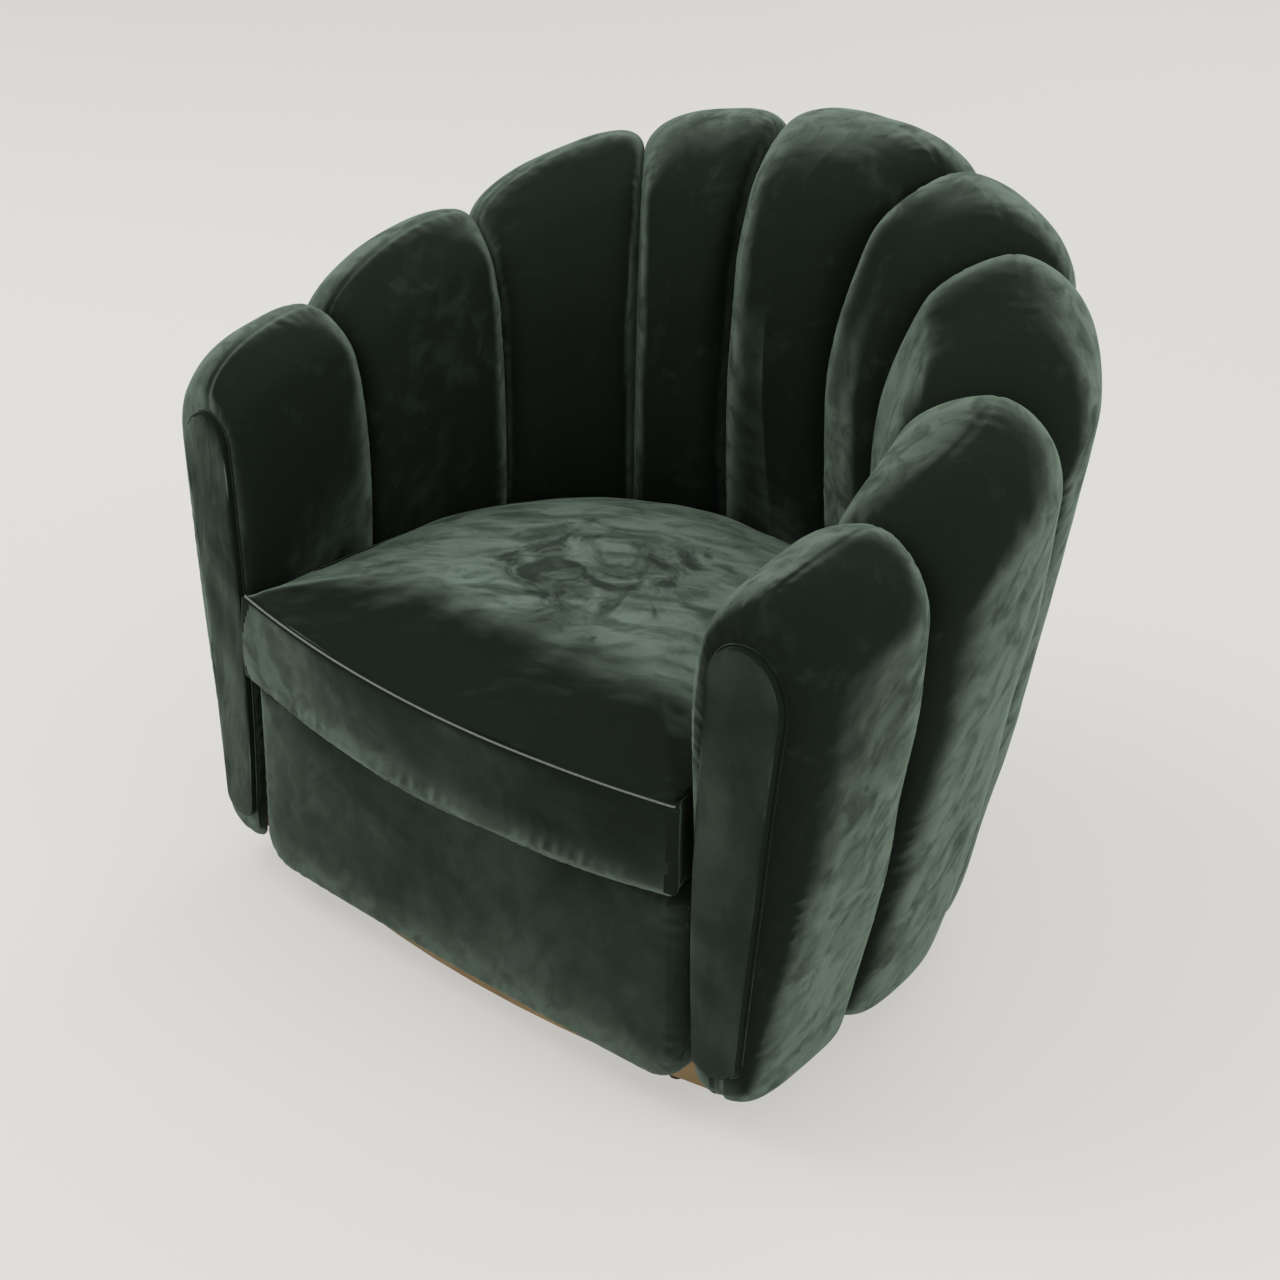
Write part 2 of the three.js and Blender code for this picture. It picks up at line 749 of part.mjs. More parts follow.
function addSprings() {
  for (let i = 0; i < springCount; i += 1) {
    const x = (i - (springCount - 1) / 2) * springPitch;
    const path = new SpringPath(x, railBack - springRest, hoopInnerY(x, seatHoopWidth / 2));
    const geometry = new THREE.ExtrudeGeometry(circleShape(springWireRadius, springSides), {
      steps: springWaves * stepsPerWave,
      extrudePath: path,
      bevelEnabled: false,
    });
    addMesh(`seat_spring_${i + 1}`, closedFromExtrusion(geometry), springSteel);
  }
  const halfSpan = ((springCount - 1) / 2) * springPitch + 2 * springLoopHalfWidth;
  const front = new THREE.BoxGeometry(2 * halfSpan, clipStripWidth, clipStripThickness);
  const strip = addMesh('clip_strip_front', front, springSteel);
  strip.position.set(0, railBack - clipStripWidth, clipStripFoot + clipStripThickness / 2);
  const halfTurn = Math.asin(halfSpan / (backRadius - seatHoopWidth));
  const back = ribbon(
    -halfTurn * backRadius, halfTurn * backRadius, clipStripFoot, clipStripFoot + clipStripThickness,
    (along) => innerReach(along, seatHoopFoot, seatHoopTop) - (seatHoopWidth - clipStripWidth) / 2,
    clipStripWidth,
  );
  addMesh('clip_strip_back', back, springSteel);
}

function addCloths() {
  const deckReach = (along) => innerReach(along, deckFoot, deckTop);
  const deckFront = panelLine(panelHalfWidth) + boardBackDepth;
  addMesh('seat_deck', clothGeometry(deckReach, deckFront, deckFoot, deckThickness), deckCloth);
  const coverReach = () => -plinthInset - plinthThickness - dustCoverMargin;
  const coverFront = plinthFrontLine(plinthHalfWidth) + plinthThickness + seatGap;
  const coverFoot = plinthTop - dustCoverThickness;
  const cover = clothGeometry(coverReach, coverFront, coverFoot, dustCoverThickness, glideInset);
  addMesh('dust_cover', cover, blackCloth);
}

// The seat cushion: rings round an upright axis, from the middle of its foot to the middle of its top

const cushionFrontY = frontOfArms - cushionOverhang;

// The wall's inner face at a height, over the bulges of the channels
function cushionReach(along, height) {
  const arm = sideChannels[sideChannels.length - 1];
  const share = clamp((along - arm.from) / armWidth, 0, 1);
  const turned = (topHalfThickness + innerArmBulge) * Math.tan(facingTurn) * share ** 2;
  const across = (2 * (along - turned - cushionCornerGap - arm.from)) / armWidth - 1;
  const arch = across > 0 ? archShare(Math.min(across, 1)) : 1;
  const wallTop = lerp(centreSeamHeight + centreRise, facingHeight, wallShare(along));
  const above = steps(reachRows).map((rise) => {
    const level = lerp(height, facingHeight, rise);
    const swell = fullBulge(along, false) * arch * bulgeRise(level, innerFillFoot, wallTop, false);
    return wallLean(along, level) - halfThickness(along, level, false) - swell;
  });
  return Math.min(...above) - liftGap;
}

function cushionOutline(height, inset) {
  const rise = clamp((height - cushionFoot) / cushionHeight, 0, 1);
  const end = alongAtY(cushionFrontY + inset);
  const side = steps(cushionSideSteps).map((share) => {
    const along = end * lerp(share, Math.sin((Math.PI / 2) * share), cushionCrowdingShare);
    const plan = wallPlan(along);
    const reach = cushionReach(along, height) - inset;
    return { x: plan.x + reach * plan.outX, y: plan.y + reach * plan.outY };
  });
  const corner = side[side.length - 1];
  const bow = lerp(cushionFootBow, cushionTopBow, rise);
  const front = steps(cushionFrontSteps).slice(1, -1).map((share) => {
    const across = 1 - 2 * share;
    return { x: corner.x * across, y: corner.y - bow * (1 - across ** 2) };
  });
  const left = side.slice(1).reverse().map((point) => ({ x: -point.x, y: point.y }));
  return [...left, ...side, ...front];
}

function ringsGeometry(rings, footPoint, topPoint) {
  const count = rings[0].length;
  const positions = [...footPoint];
  const triangles = [];
  for (const ring of rings) {
    for (const point of ring) {
      positions.push(...point);
    }
  }
  positions.push(...topPoint);
  const last = rings.length * count + 1;
  for (let j = 0; j < count; j += 1) {
    const next = (j + 1) % count;
    triangles.push([0, 1 + next, 1 + j]);
    for (let i = 0; i < rings.length - 1; i += 1) {
      const [a, b] = [1 + i * count + j, 1 + i * count + next];
      triangles.push([a, b, b + count], [a, b + count, a + count]);
    }
    triangles.push([last, last - count + j, last - count + next]);
  }
  return closedGeometry(positions, triangles);
}

// Height of the cushion's top over its edge, at a share of the way from the middle to the edge
function crownRise(share) {
  return cushionCrown * (1 - share ** 2) ** crownPower;
}

function cushionGeometry(inset) {
  const peakY = backCentreY + crownSetback;
  const edge = cushionEdgeHeight - inset;
  const foot = cushionFoot + inset;
  const round = cushionEdgeRound;
  const ringAt = (height, draw, share, rise) => cushionOutline(height, draw + inset)
    .map(({ x, y }) => [x * share, lerp(peakY, y, share), height + rise]);
  const bodyHeight = edge - foot;
  const sides = [
    { height: foot, draw: round },
    { height: foot + round, draw: cushionSideSwell },
    { height: foot + bodyHeight / 2, draw: 0 },
    { height: edge - round, draw: cushionSideSwell },
    { height: edge, draw: round },
  ].map(({ height, draw }) => ringAt(height, draw, 1, 0));
  const footRing = ringAt(foot, round, cushionFootShare, 0);
  const topRings = cushionTopShares.map((share) => ringAt(edge, round, share, crownRise(share)));
  return ringsGeometry(
    [footRing, ...sides, ...topRings],
    [0, peakY, foot],
    [0, peakY, edge + crownRise(0)],
  );
}

// The piping lies on the bevel between the cushion's front and its top
class PipingPath extends THREE.Curve {
  getPoint(share) {
    const across = pipingSpanShare * (2 * share - 1);
    const bevel = new THREE.Vector2(cushionEdgeRound, cushionEdgeRound - cushionSideSwell).normalize();
    const off = pipingRadius + seatGap;
    const draw = (cushionEdgeRound + cushionSideSwell) / 2 - off * bevel.x;
    const height = cushionEdgeHeight - cushionEdgeRound / 2 + off * bevel.y;
    const end = alongAtY(cushionFrontY + draw);
    const plan = wallPlan(end);
    const reach = cushionReach(end, height) - draw;
    const cornerX = plan.x + reach * plan.outX;
    const cornerY = plan.y + reach * plan.outY;
    return new THREE.Vector3(cornerX * across, cornerY - cushionTopBow * (1 - across ** 2), height);
  }
}

function addCushion() {
  const core = cushionGeometry(cushionWrapThickness);
  const hollow = cushionGeometry(cushionWrapThickness - coreGap);
  const zip = new THREE.BoxGeometry(2 * zipHalfWidth, backRadius, zipHeight);
  zip.translate(0, backCentreY + backRadius / 2, cushionFoot + cushionHeight / 2);
  addMesh('seat_cushion', cut(cushionGeometry(0), hollow, zip), velvet);
  addMesh('cushion_core', core, foam);
  const piping = new THREE.ExtrudeGeometry(circleShape(pipingRadius, pipingSides), {
    steps: pipingSteps,
    extrudePath: new PipingPath(),
    bevelEnabled: false,
  });
  addMesh('cushion_piping', closedFromExtrusion(piping), velvetLight);
}

// The front panel: a padded board, bowed, with round lower corners

function panelGeometry() {
  const foot = panelFootHeight;
  const top = cushionFoot - seatGap;
  const cornerHeight = (x, radius) => {
    const depth = clamp((Math.abs(x) - (panelHalfWidth - radius)) / radius, 0, 1);
    return radius * (1 - Math.sqrt(1 - depth ** 2));
  };
  const places = steps(panelColumns).map((share) => {
    const even = 2 * share - 1;
    return lerp(even, Math.sin((even * Math.PI) / 2), panelCrowdingShare);
  });
  return loft(places.map((place) => {
    const x = panelHalfWidth * place;
    const lowest = foot + cornerHeight(x, panelCornerRadius);
    const highest = top - cornerHeight(x, panelTopCorner);
    const fade = Math.sqrt(Math.max(1 - place ** panelSidePower, 0));
    const heights = steps(panelRows).map((share) => lerp(lowest, highest, share));
    const front = heights.map((height, row) => {
      const level = (2 * row) / panelRows - 1;
      const puff = panelPuff * fade * Math.sqrt(Math.max(1 - level ** panelEdgePower, 0));
      return new THREE.Vector3(x, panelLine(x) - puff, height);
    });
    const back = heights.map((height) => new THREE.Vector3(x, panelLine(x) + panelPadThickness, height));
    return { outer: back, inner: front };
  }));
}

function addFrontPanel() {
  addMesh('front_panel', panelGeometry(), velvet);
  const boardFoot = baseHoopFoot;
  const board = loft(steps(hoopSteps).map((share) => {
    const x = lerp(-1, 1, share) * (panelHalfWidth - panelBoardMargin);
    const side = (out) => [boardFoot, seatHoopTop].map((z) => new THREE.Vector3(x, panelLine(x) + out, z));
    const front = panelPadThickness + seatGap;
    return { outer: side(front + panelBoardThickness), inner: side(front) };
  }));
  addMesh('front_panel_board', board, plywood);
}

addChannels();
addFacings();
addHoops();
addFrontRails();
addPlinth();
addGlides();
addSprings();
addCloths();
addCushion();
addFrontPanel();

export default chair;
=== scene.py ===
"""A velvet tub armchair with nine upright padded channels. Metres, +Z up, the chair faces -Y."""
import json
import math

import bmesh
import bpy
import numpy as np
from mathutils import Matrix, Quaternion, Vector


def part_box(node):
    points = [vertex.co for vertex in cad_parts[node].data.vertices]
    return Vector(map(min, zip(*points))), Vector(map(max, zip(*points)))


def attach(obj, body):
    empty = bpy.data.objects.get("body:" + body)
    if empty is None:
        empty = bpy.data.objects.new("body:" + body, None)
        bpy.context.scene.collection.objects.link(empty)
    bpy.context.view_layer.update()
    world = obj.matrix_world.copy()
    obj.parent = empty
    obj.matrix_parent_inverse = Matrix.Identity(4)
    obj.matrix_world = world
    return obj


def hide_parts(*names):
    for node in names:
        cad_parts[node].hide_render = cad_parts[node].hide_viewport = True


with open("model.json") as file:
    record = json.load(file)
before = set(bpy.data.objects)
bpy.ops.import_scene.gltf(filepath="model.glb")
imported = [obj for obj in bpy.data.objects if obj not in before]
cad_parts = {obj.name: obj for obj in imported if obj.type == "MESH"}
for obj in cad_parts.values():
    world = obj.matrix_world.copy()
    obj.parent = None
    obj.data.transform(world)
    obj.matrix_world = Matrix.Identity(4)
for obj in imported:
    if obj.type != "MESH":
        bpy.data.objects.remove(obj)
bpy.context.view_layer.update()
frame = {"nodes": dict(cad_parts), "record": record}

# Clearances
SEAT_GAP = 0.0003
LIFT_GAP = 0.0015

# The wall's middle line in plan
BACK_RADIUS = 0.348
BACK_HALF_ARC = math.radians(83.7)
ARM_RADIUS = 1.493
BACK_CENTRE_Y = -0.1112

# Widths of the channels along the middle line, and the heights of their seams and arches
CENTRE_WIDTH = 0.189
NEAR_WIDTH = 0.131
REAR_WIDTH = 0.17
FORE_WIDTH = 0.199
ARM_WIDTH = 0.186
CENTRE_SEAM_HEIGHT = 0.749
NEAR_SEAM_HEIGHT = 0.723
REAR_SEAM_HEIGHT = 0.654
FORE_SEAM_HEIGHT = 0.592
FACING_HEIGHT = 0.566
CENTRE_RISE = 0.06
NEAR_RISE = 0.048
REAR_RISE = 0.046
FORE_RISE = 0.045
ARM_RISE = 0.048

# How the wall leans out with height
LEAN_LEVEL = 0.432
BACK_SLOPE = 0.054
SIDE_SLOPE = 0.118
ARM_SLOPE = 0.052
BACK_FLARE_RADIUS = 1.636
ARM_FLARE_RADIUS = 4.909

# Padding of the wall
FOOT_HALF_THICKNESS = 0.021
TOP_HALF_THICKNESS = 0.031
FULL_THICKNESS_HEIGHT = 0.345
OUTER_FLARE_THICKNESS = 0.022
FLARE_LIMIT_SHARE = 1.3
BACK_EXTRA_THICKNESS = 0.025
INNER_BACK_BULGE = 0.07
INNER_ARM_BULGE = 0.028
OUTER_BACK_BULGE = 0.057
OUTER_ARM_BULGE = 0.036
INNER_FILL_FOOT = 0.275
INNER_BULGE_POWER = 0.52
INNER_BULGE_SKEW = -1.0
OUTER_BULGE_POWER = 0.47
OUTER_BULGE_SKEW = -0.37
INNER_SEAM_SHARE = 0.52
OUTER_SEAM_SHARE = 0.45
ARCH_POWER = 3.8
TOP_ARCH_POWER = 2.9
TOP_PEAK_SHARE = 0.13
INNER_TOP_ROUND_SHARE = 0.97
OUTER_TOP_ROUND_SHARE = 1.34
FOOT_CLEARANCE = 0.033
FOOT_ARCH = 0.04
FOOT_ROUND = 0.016
FOOT_FLAT_SHARE = 0.9
FACING_TURN = math.radians(12.1)
STAVE_THICKNESS = 0.012
ARM_NOSE_THICKNESS = 0.012

WALL_LENGTH = CENTRE_WIDTH / 2 + NEAR_WIDTH + REAR_WIDTH + FORE_WIDTH + ARM_WIDTH

# Levels and reaches that the frame gives
PANEL_LOW, PANEL_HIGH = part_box("front_panel")
DECK_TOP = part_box("seat_deck")[1].z

# Seat cushion
CUSHION_HEIGHT = 0.108
CUSHION_EDGE_HEIGHT = 0.377
CUSHION_FOOT = CUSHION_EDGE_HEIGHT - CUSHION_HEIGHT
CUSHION_FRONT_FORWARD = 0.2502
CUSHION_TOP_BOW = 0.037
CUSHION_FOOT_BOW = 0.043
CUSHION_CROWN = 0.042
CROWN_POWER = 0.78
CROWN_SETBACK = 0.04
CUSHION_CORNER_GAP = 0.002
PIPING_RADIUS = 0.001
PIPING_FORWARD = 0.0008
PIPING_LIFT = 0.0012

# Front panel
PANEL_HALF_WIDTH = 0.3045
PANEL_FORWARD = 0.2337
PANEL_BOW = 0.007
PANEL_PUFF = 0.013
PANEL_DEPTH = 0.0363
PANEL_CORNER_RADIUS = 0.042
PANEL_TOP_CORNER = 0.014

# Arm facings: a board and its cover, wrapped as one pad
FACING_DEPTH = 0.0086
FACING_EDGE_INSET = 0.0026
FACING_EDGE_ROUND = 0.0006
FACING_CROWN = 0.0012

# The photograph's view
CAMERA_AZIMUTH = math.radians(40.960)
CAMERA_ELEVATION = math.radians(29.701)
CAMERA_DISTANCE = 2.8536
CAMERA_TARGET = Vector((0.0414, BACK_CENTRE_Y, 0.3527))
CAMERA_LENS = 76.509
CAMERA_ROLL = math.radians(1.0)

FINE = 1  # coarser meshes while other pieces are worked on


# Small helpers

def lerp(low, high, share):
    return low + (high - low) * share


def smooth_step(low, high, value):
    share = np.clip((value - low) / (high - low), 0, 1)
    return share * share * (3 - 2 * share)


def bell(value, middle, width):
    return np.exp(-(((value - middle) / width) ** 2))


def ripple(points, length, seed, count=28):
    """A smooth random field with waves of about that length: a sum of sines in fixed random directions."""
    rng = np.random.default_rng(seed)
    directions = rng.normal(size=(count, points.shape[-1]))
    directions /= np.linalg.norm(directions, axis=1)[:, None]
    rates = rng.uniform(0.55, 1.6, count) * 2 * math.pi / length
    phases = rng.uniform(0, 2 * math.pi, count)
    waves = np.sin(points @ (directions * rates[:, None]).T + phases)
    return waves.sum(-1) / math.sqrt(count / 2)


def outward_normals(points, middle):
    """Normals of a grid of points whose second direction closes on itself, away from a middle."""
    across = np.gradient(points, axis=0)
    along = (np.roll(points, -1, axis=1) - np.roll(points, 1, axis=1)) / 2
    normals = np.cross(across, along)
    normals /= np.maximum(np.linalg.norm(normals, axis=-1), 1e-12)[..., None]
    return -normals if (normals * (points - middle)).sum() < 0 else normals


def make_piece(name, points, faces, material, body="root", sharp_angle=math.radians(50)):
    mesh = bpy.data.meshes.new(name)
    mesh.from_pydata(np.asarray(points).reshape(-1, 3).tolist(), [], faces)
    edit = bmesh.new()
    edit.from_mesh(mesh)
    bmesh.ops.remove_doubles(edit, verts=edit.verts, dist=1e-6)
    bmesh.ops.recalc_face_normals(edit, faces=edit.faces)
    edit.to_mesh(mesh)
    edit.free()
    mesh.shade_smooth()
    mesh.set_sharp_from_angle(angle=sharp_angle)
    mesh.materials.append(material)
    piece = bpy.data.objects.new(name, mesh)
    bpy.context.scene.collection.objects.link(piece)
    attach(piece, body)
    return piece


def ring_faces(columns, rows, caps=True):
    """Quads of a grid whose columns are closed rings, with a face on each end."""
    faces = []
    for i in range(columns - 1):
        for j in range(rows):
            k = (j + 1) % rows
            faces.append((i * rows + j, i * rows + k, (i + 1) * rows + k, (i + 1) * rows + j))
    if caps:
        faces.append(tuple(range(rows)))
        faces.append(tuple(range((columns - 1) * rows, columns * rows)))
    return faces


# Materials

class Nodes:
    """A short way to write node trees."""

    def __init__(self, name):
        self.material = bpy.data.materials.new(name)
        self.material.use_nodes = True
        self.tree = self.material.node_tree
        self.shader = self.tree.nodes["Principled BSDF"]
        self.coordinates = self.add("ShaderNodeTexCoord").outputs["Object"]

    def add(self, kind, **settings):
        node = self.tree.nodes.new(kind)
        for key, value in settings.items():
            setattr(node, key, value)
        return node

    def link(self, source, target):
        self.tree.links.new(source, target)

    def place(self, scale, turn=(0, 0, 0)):
        """Object coordinates, scaled and turned."""
        mapping = self.add("ShaderNodeMapping")
        mapping.inputs["Scale"].default_value = scale
        mapping.inputs["Rotation"].default_value = turn
        self.link(self.coordinates, mapping.inputs["Vector"])
        return mapping.outputs["Vector"]

    def stretched(self, size, turn=(0, 0, 0)):
        """Object coordinates in which a mark of that size, turned, is one unit large."""
        mapping = self.add("ShaderNodeMapping", vector_type="TEXTURE")
        mapping.inputs["Scale"].default_value = size
        mapping.inputs["Rotation"].default_value = turn
        self.link(self.coordinates, mapping.inputs["Vector"])
        return mapping.outputs["Vector"]

    def along_axis(self, axis):
        """The object coordinate along one axis."""
        split = self.add("ShaderNodeSeparateXYZ")
        self.link(self.coordinates, split.inputs["Vector"])
        return split.outputs[axis]

    def distance(self, place):
        """How far each point lies from a place, in object coordinates."""
        node = self.add("ShaderNodeVectorMath", operation="DISTANCE")
        self.link(self.coordinates, node.inputs[0])
        node.inputs[1].default_value = place
        return node.outputs["Value"]

    def noise(self, vector, scale, detail=4.0, roughness=0.55, distortion=0.0):
        node = self.add("ShaderNodeTexNoise")
        node.inputs["Scale"].default_value = scale
        node.inputs["Detail"].default_value = detail
        node.inputs["Roughness"].default_value = roughness
        node.inputs["Distortion"].default_value = distortion
        self.link(vector, node.inputs["Vector"])
        return node.outputs["Fac"]

    def ramp(self, value, low, high):
        node = self.add("ShaderNodeMapRange", interpolation_type="SMOOTHSTEP")
        node.inputs["From Min"].default_value = low
        node.inputs["From Max"].default_value = high
        self.link(value, node.inputs["Value"])
        return node.outputs["Result"]

    def math(self, operation, first, second):
        node = self.add("ShaderNodeMath", operation=operation)
        for socket, value in zip(node.inputs, (first, second)):
            if isinstance(value, (int, float)):
                socket.default_value = value
            else:
                self.link(value, socket)
        return node.outputs["Value"]

    def mix(self, factor, first, second):
        node = self.add("ShaderNodeMix", data_type="RGBA")
        self.link(factor, node.inputs["Factor"])
        for socket, value in ((node.inputs[6], first), (node.inputs[7], second)):
            if isinstance(value, tuple):
                socket.default_value = (*value, 1)
            else:
                self.link(value, socket)
        return node.outputs[2]

    def bump(self, height, distance, strength=1.0, normal=None):
        node = self.add("ShaderNodeBump")
        node.inputs["Distance"].default_value = distance
        node.inputs["Strength"].default_value = strength
        self.link(height, node.inputs["Height"])
        if normal is not None:
            self.link(normal, node.inputs["Normal"])
        return node.outputs["Normal"]


def shaded(color, share):
    return tuple(share * channel for channel in color)


# Velvet colours: the pile's own dark colour and flecks, and the painted sheen colours that the base colour
# turns to where the pile is seen from the side.
DARK_PILE = (0.0062, 0.0108, 0.0066)
DARK_FLECKS = (0.0115, 0.018, 0.0122)
SHEEN_PILE_COLOR = (0.128, 0.172, 0.135)
SHEEN_STREAKS_COLOR = (0.080, 0.112, 0.085)
SHEEN_FLECKS_COLOR = (0.16, 0.205, 0.168)


def velvet_material(
    name, mark_size, mark_turn, marks, wear_sheen, nap=("Z", 0.0, 1.0, 0.0, 0.0), pile=1.0, rest=0.0, lift=1.0,
    pressed=None,
):
    """Cut velvet, with its sheen painted into the base colour: a dark pile that turns to a painted
    sheen colour where it is seen from the side, where brushed marks break that painted sheen, and
    that shows more painted sheen where the pile is a little worn flat. The nap is (axis, low, high,
    sheen at low, sheen at high): a ramp of painted sheen from one place to another, for the pile lying
    further over there. A pressed place (middle, radius) has its pile pressed flat, and the painted
    sheen is taken out in dark patches round it, which paints shade there. The lift makes the painted
    sheen colour lighter; pile weights the painted sheen seen from the side, and rest adds painted sheen
    everywhere."""
    n = Nodes(name)
    plain = n.place((1, 1, 1))
    clouds = n.noise(plain, 5.5, 3.0, 0.5, 0.4)
    blots = n.noise(plain, 15.0, 5.0, 0.62, 1.1)
    brush = n.noise(n.stretched(mark_size, mark_turn), 1.0, 4.0, 0.56, 0.8)
    grain = n.noise(plain, 1100.0, 2.0, 0.5)
    rub = n.math("ADD", n.math("MULTIPLY", blots, 0.5), n.math("MULTIPLY", brush, 0.5))
    lie = n.bump(n.math("ADD", clouds, n.math("MULTIPLY", rub, 0.09 * marks)), 0.007)
    # Painted sheen: Layer Weight's Facing mixes the base colour toward the painted sheen colours, so the
    # colour itself changes with the view.
    side = n.add("ShaderNodeLayerWeight")
    side.inputs["Blend"].default_value = 0.5
    n.link(lie, side.inputs["Normal"])
    seen = n.math("ADD", n.math("MULTIPLY", side.outputs["Facing"], pile), rest)
    # Painted sheen by place: a ramp along one axis adds or takes away painted sheen, for the nap lying
    # further over.
    axis, low, high, sheen_at_low, sheen_at_high = nap
    sheen_ramp = n.math("MULTIPLY", n.ramp(n.along_axis(axis), low, high), sheen_at_high - sheen_at_low)
    patchy = n.math("MULTIPLY", n.math("SUBTRACT", rub, 0.5), 0.38 * marks)
    cloudy = n.math("MULTIPLY", n.math("SUBTRACT", clouds, 0.5), 0.2)
    sheen_amount = n.math("ADD", n.math("ADD", seen, n.math("ADD", sheen_ramp, sheen_at_low)), n.math("ADD", patchy, cloudy))
    shine = n.ramp(sheen_amount, 0.30, 0.64)
    broken = n.math("SUBTRACT", 1.0, n.math("MULTIPLY", n.ramp(rub, 0.47, 0.66), marks))
    # Where the pile is worn flat it is given more painted sheen.
    flattened = n.ramp(n.math("ADD", rub, n.math("MULTIPLY", clouds, 0.4)), 0.74, 0.92)
    crushed_sheen = n.math("MULTIPLY", flattened, wear_sheen)
    shine = n.math("MAXIMUM", n.math("MULTIPLY", shine, broken), crushed_sheen)
    # Painted shade in patches round the pressed place: the painted sheen is taken out there, and the pile
    # is pressed flat.
    if pressed:
        middle, radius = pressed
        away = n.ramp(n.distance(middle), 0.4 * radius, radius)
        patches = n.ramp(n.math("ADD", blots, n.math("MULTIPLY", away, 0.3)), 0.38, 0.60)
        shine = n.math("MULTIPLY", shine, n.math("ADD", n.math("MULTIPLY", patches, 0.8), 0.2))
    # The painted sheen colour, with brushed streaks in it; the base colour and the flecks run from the
    # dark pile to it by the amount of painted sheen.
    streaks = n.ramp(brush, 0.36, 0.60)
    light = n.mix(streaks, shaded(SHEEN_PILE_COLOR, lift), shaded(SHEEN_STREAKS_COLOR, lift))
    color = n.mix(shine, DARK_PILE, light)
    flecks = n.ramp(grain, 0.3, 0.7)
    sheen_flecks = n.mix(shine, DARK_FLECKS, SHEEN_FLECKS_COLOR)
    n.link(n.mix(n.math("MULTIPLY", flecks, 0.35), color, sheen_flecks), n.shader.inputs["Base Color"])
    n.shader.inputs["Roughness"].default_value = 0.85
    n.shader.inputs["Specular IOR Level"].default_value = 0.12
    n.shader.inputs["Sheen Weight"].default_value = 0.45
    n.shader.inputs["Sheen Roughness"].default_value = 0.25
    n.shader.inputs["Sheen Tint"].default_value = (0.39, 0.56, 0.42, 1)
    n.link(n.bump(grain, 0.0002, 0.5, lie), n.shader.inputs["Normal"])
    return n.material


def plain_cloth_material(name, color, weave, roughness=0.95):
    """A woven cloth: two crossed waves of threads, with a little dirt in the colour."""
    n = Nodes(name)
    warp = n.add("ShaderNodeTexWave", wave_type="BANDS", bands_direction="X")
    weft = n.add("ShaderNodeTexWave", wave_type="BANDS", bands_direction="Y")
    place = n.place((1, 1, 1))
    for wave in (warp, weft):
        wave.inputs["Scale"].default_value = weave
        wave.inputs["Distortion"].default_value = 0.4
        n.link(place, wave.inputs["Vector"])
    threads = n.math("MAXIMUM", warp.outputs["Fac"], weft.outputs["Fac"])
    dirt = n.ramp(n.noise(place, 14.0, 5.0), 0.3, 0.75)
    soiled = n.mix(n.math("MULTIPLY", threads, dirt), shaded(color, 0.6), color)
    n.link(soiled, n.shader.inputs["Base Color"])
    n.shader.inputs["Roughness"].default_value = roughness
    n.shader.inputs["Sheen Weight"].default_value = 0.2
    n.link(n.bump(threads, 0.0003), n.shader.inputs["Normal"])
    return n.material


def wood_material(name, light, dark, along=(1, 9, 9)):
    """Timber: grain stretched along one direction, with pores."""
    n = Nodes(name)
    place = n.place(along)
    rings = n.noise(place, 9.0, 8.0, 0.65, 1.6)
    pores = n.noise(n.place(tuple(8 * side for side in along)), 30.0, 2.0, 0.6)
    n.link(n.mix(n.ramp(rings, 0.35, 0.7), light, dark), n.shader.inputs["Base Color"])
    n.shader.inputs["Roughness"].default_value = 0.65
    n.link(n.bump(pores, 0.0004, 0.5), n.shader.inputs["Normal"])
    return n.material


def metal_material(name, color, roughness, brush=(4, 4, 260)):
    n = Nodes(name)
    lines = n.noise(n.place(brush), 5.0, 4.0, 0.7)
    cloud = n.noise(n.place((1, 1, 1)), 11.0, 4.0)
    n.link(n.mix(n.ramp(cloud, 0.3, 0.75), color, shaded(color, 0.7)), n.shader.inputs["Base Color"])
    n.shader.inputs["Metallic"].default_value = 1.0
    rough = n.math("ADD", roughness - 0.08, n.math("MULTIPLY", lines, 0.2))
    n.link(rough, n.shader.inputs["Roughness"])
    n.link(n.bump(lines, 0.0002, 0.4), n.shader.inputs["Normal"])
    return n.material


def nylon_material():
    n = Nodes("glide_nylon")
    scuffs = n.noise(n.place((1, 1, 1)), 160.0, 5.0, 0.7)
    n.link(n.mix(n.ramp(scuffs, 0.45, 0.8), (0.012, 0.012, 0.012), (0.05, 0.05, 0.05)),
           n.shader.inputs["Base Color"])
    n.shader.inputs["Roughness"].default_value = 0.5
    n.link(n.bump(scuffs, 0.0002), n.shader.inputs["Normal"])
    return n.material


def piping_material():
    """Satin cord: fine twisted stripes."""
    n = Nodes("piping")
    twist = n.noise(n.place((1, 1, 1), (0, 0, 0.6)), 700.0, 3.0, 0.6)
    n.link(n.mix(n.ramp(twist, 0.3, 0.7), (0.08, 0.095, 0.085), (0.17, 0.195, 0.18)),
           n.shader.inputs["Base Color"])
    n.shader.inputs["Roughness"].default_value = 0.55
    n.shader.inputs["Sheen Weight"].default_value = 0.6
    n.link(n.bump(twist, 0.0003), n.shader.inputs["Normal"])
    return n.material


# The wall's velvet: a little more painted sheen low down than high up.
velvet_wall = velvet_material(
    "velvet_wall", (0.025, 0.025, 0.046), (-0.7, 0, 0), 0.6, 0.10, ("Z", 0.25, 0.6, 0.03, -0.01)
)
# The seat's velvet: painted sheen rising from the front towards the back, a lighter painted sheen colour,
# and a pressed place where the painted sheen is taken out in patches.
velvet_seat = velvet_material(
    "velvet_seat", (0.07, 0.028, 0.028), (0, 0, 0.5), 0.6, 0.08, ("Y", -0.34, -0.12, -0.12, 0.24),
    lift=1.4, pressed=((-0.02, -0.12, 0.41), 0.19),
)
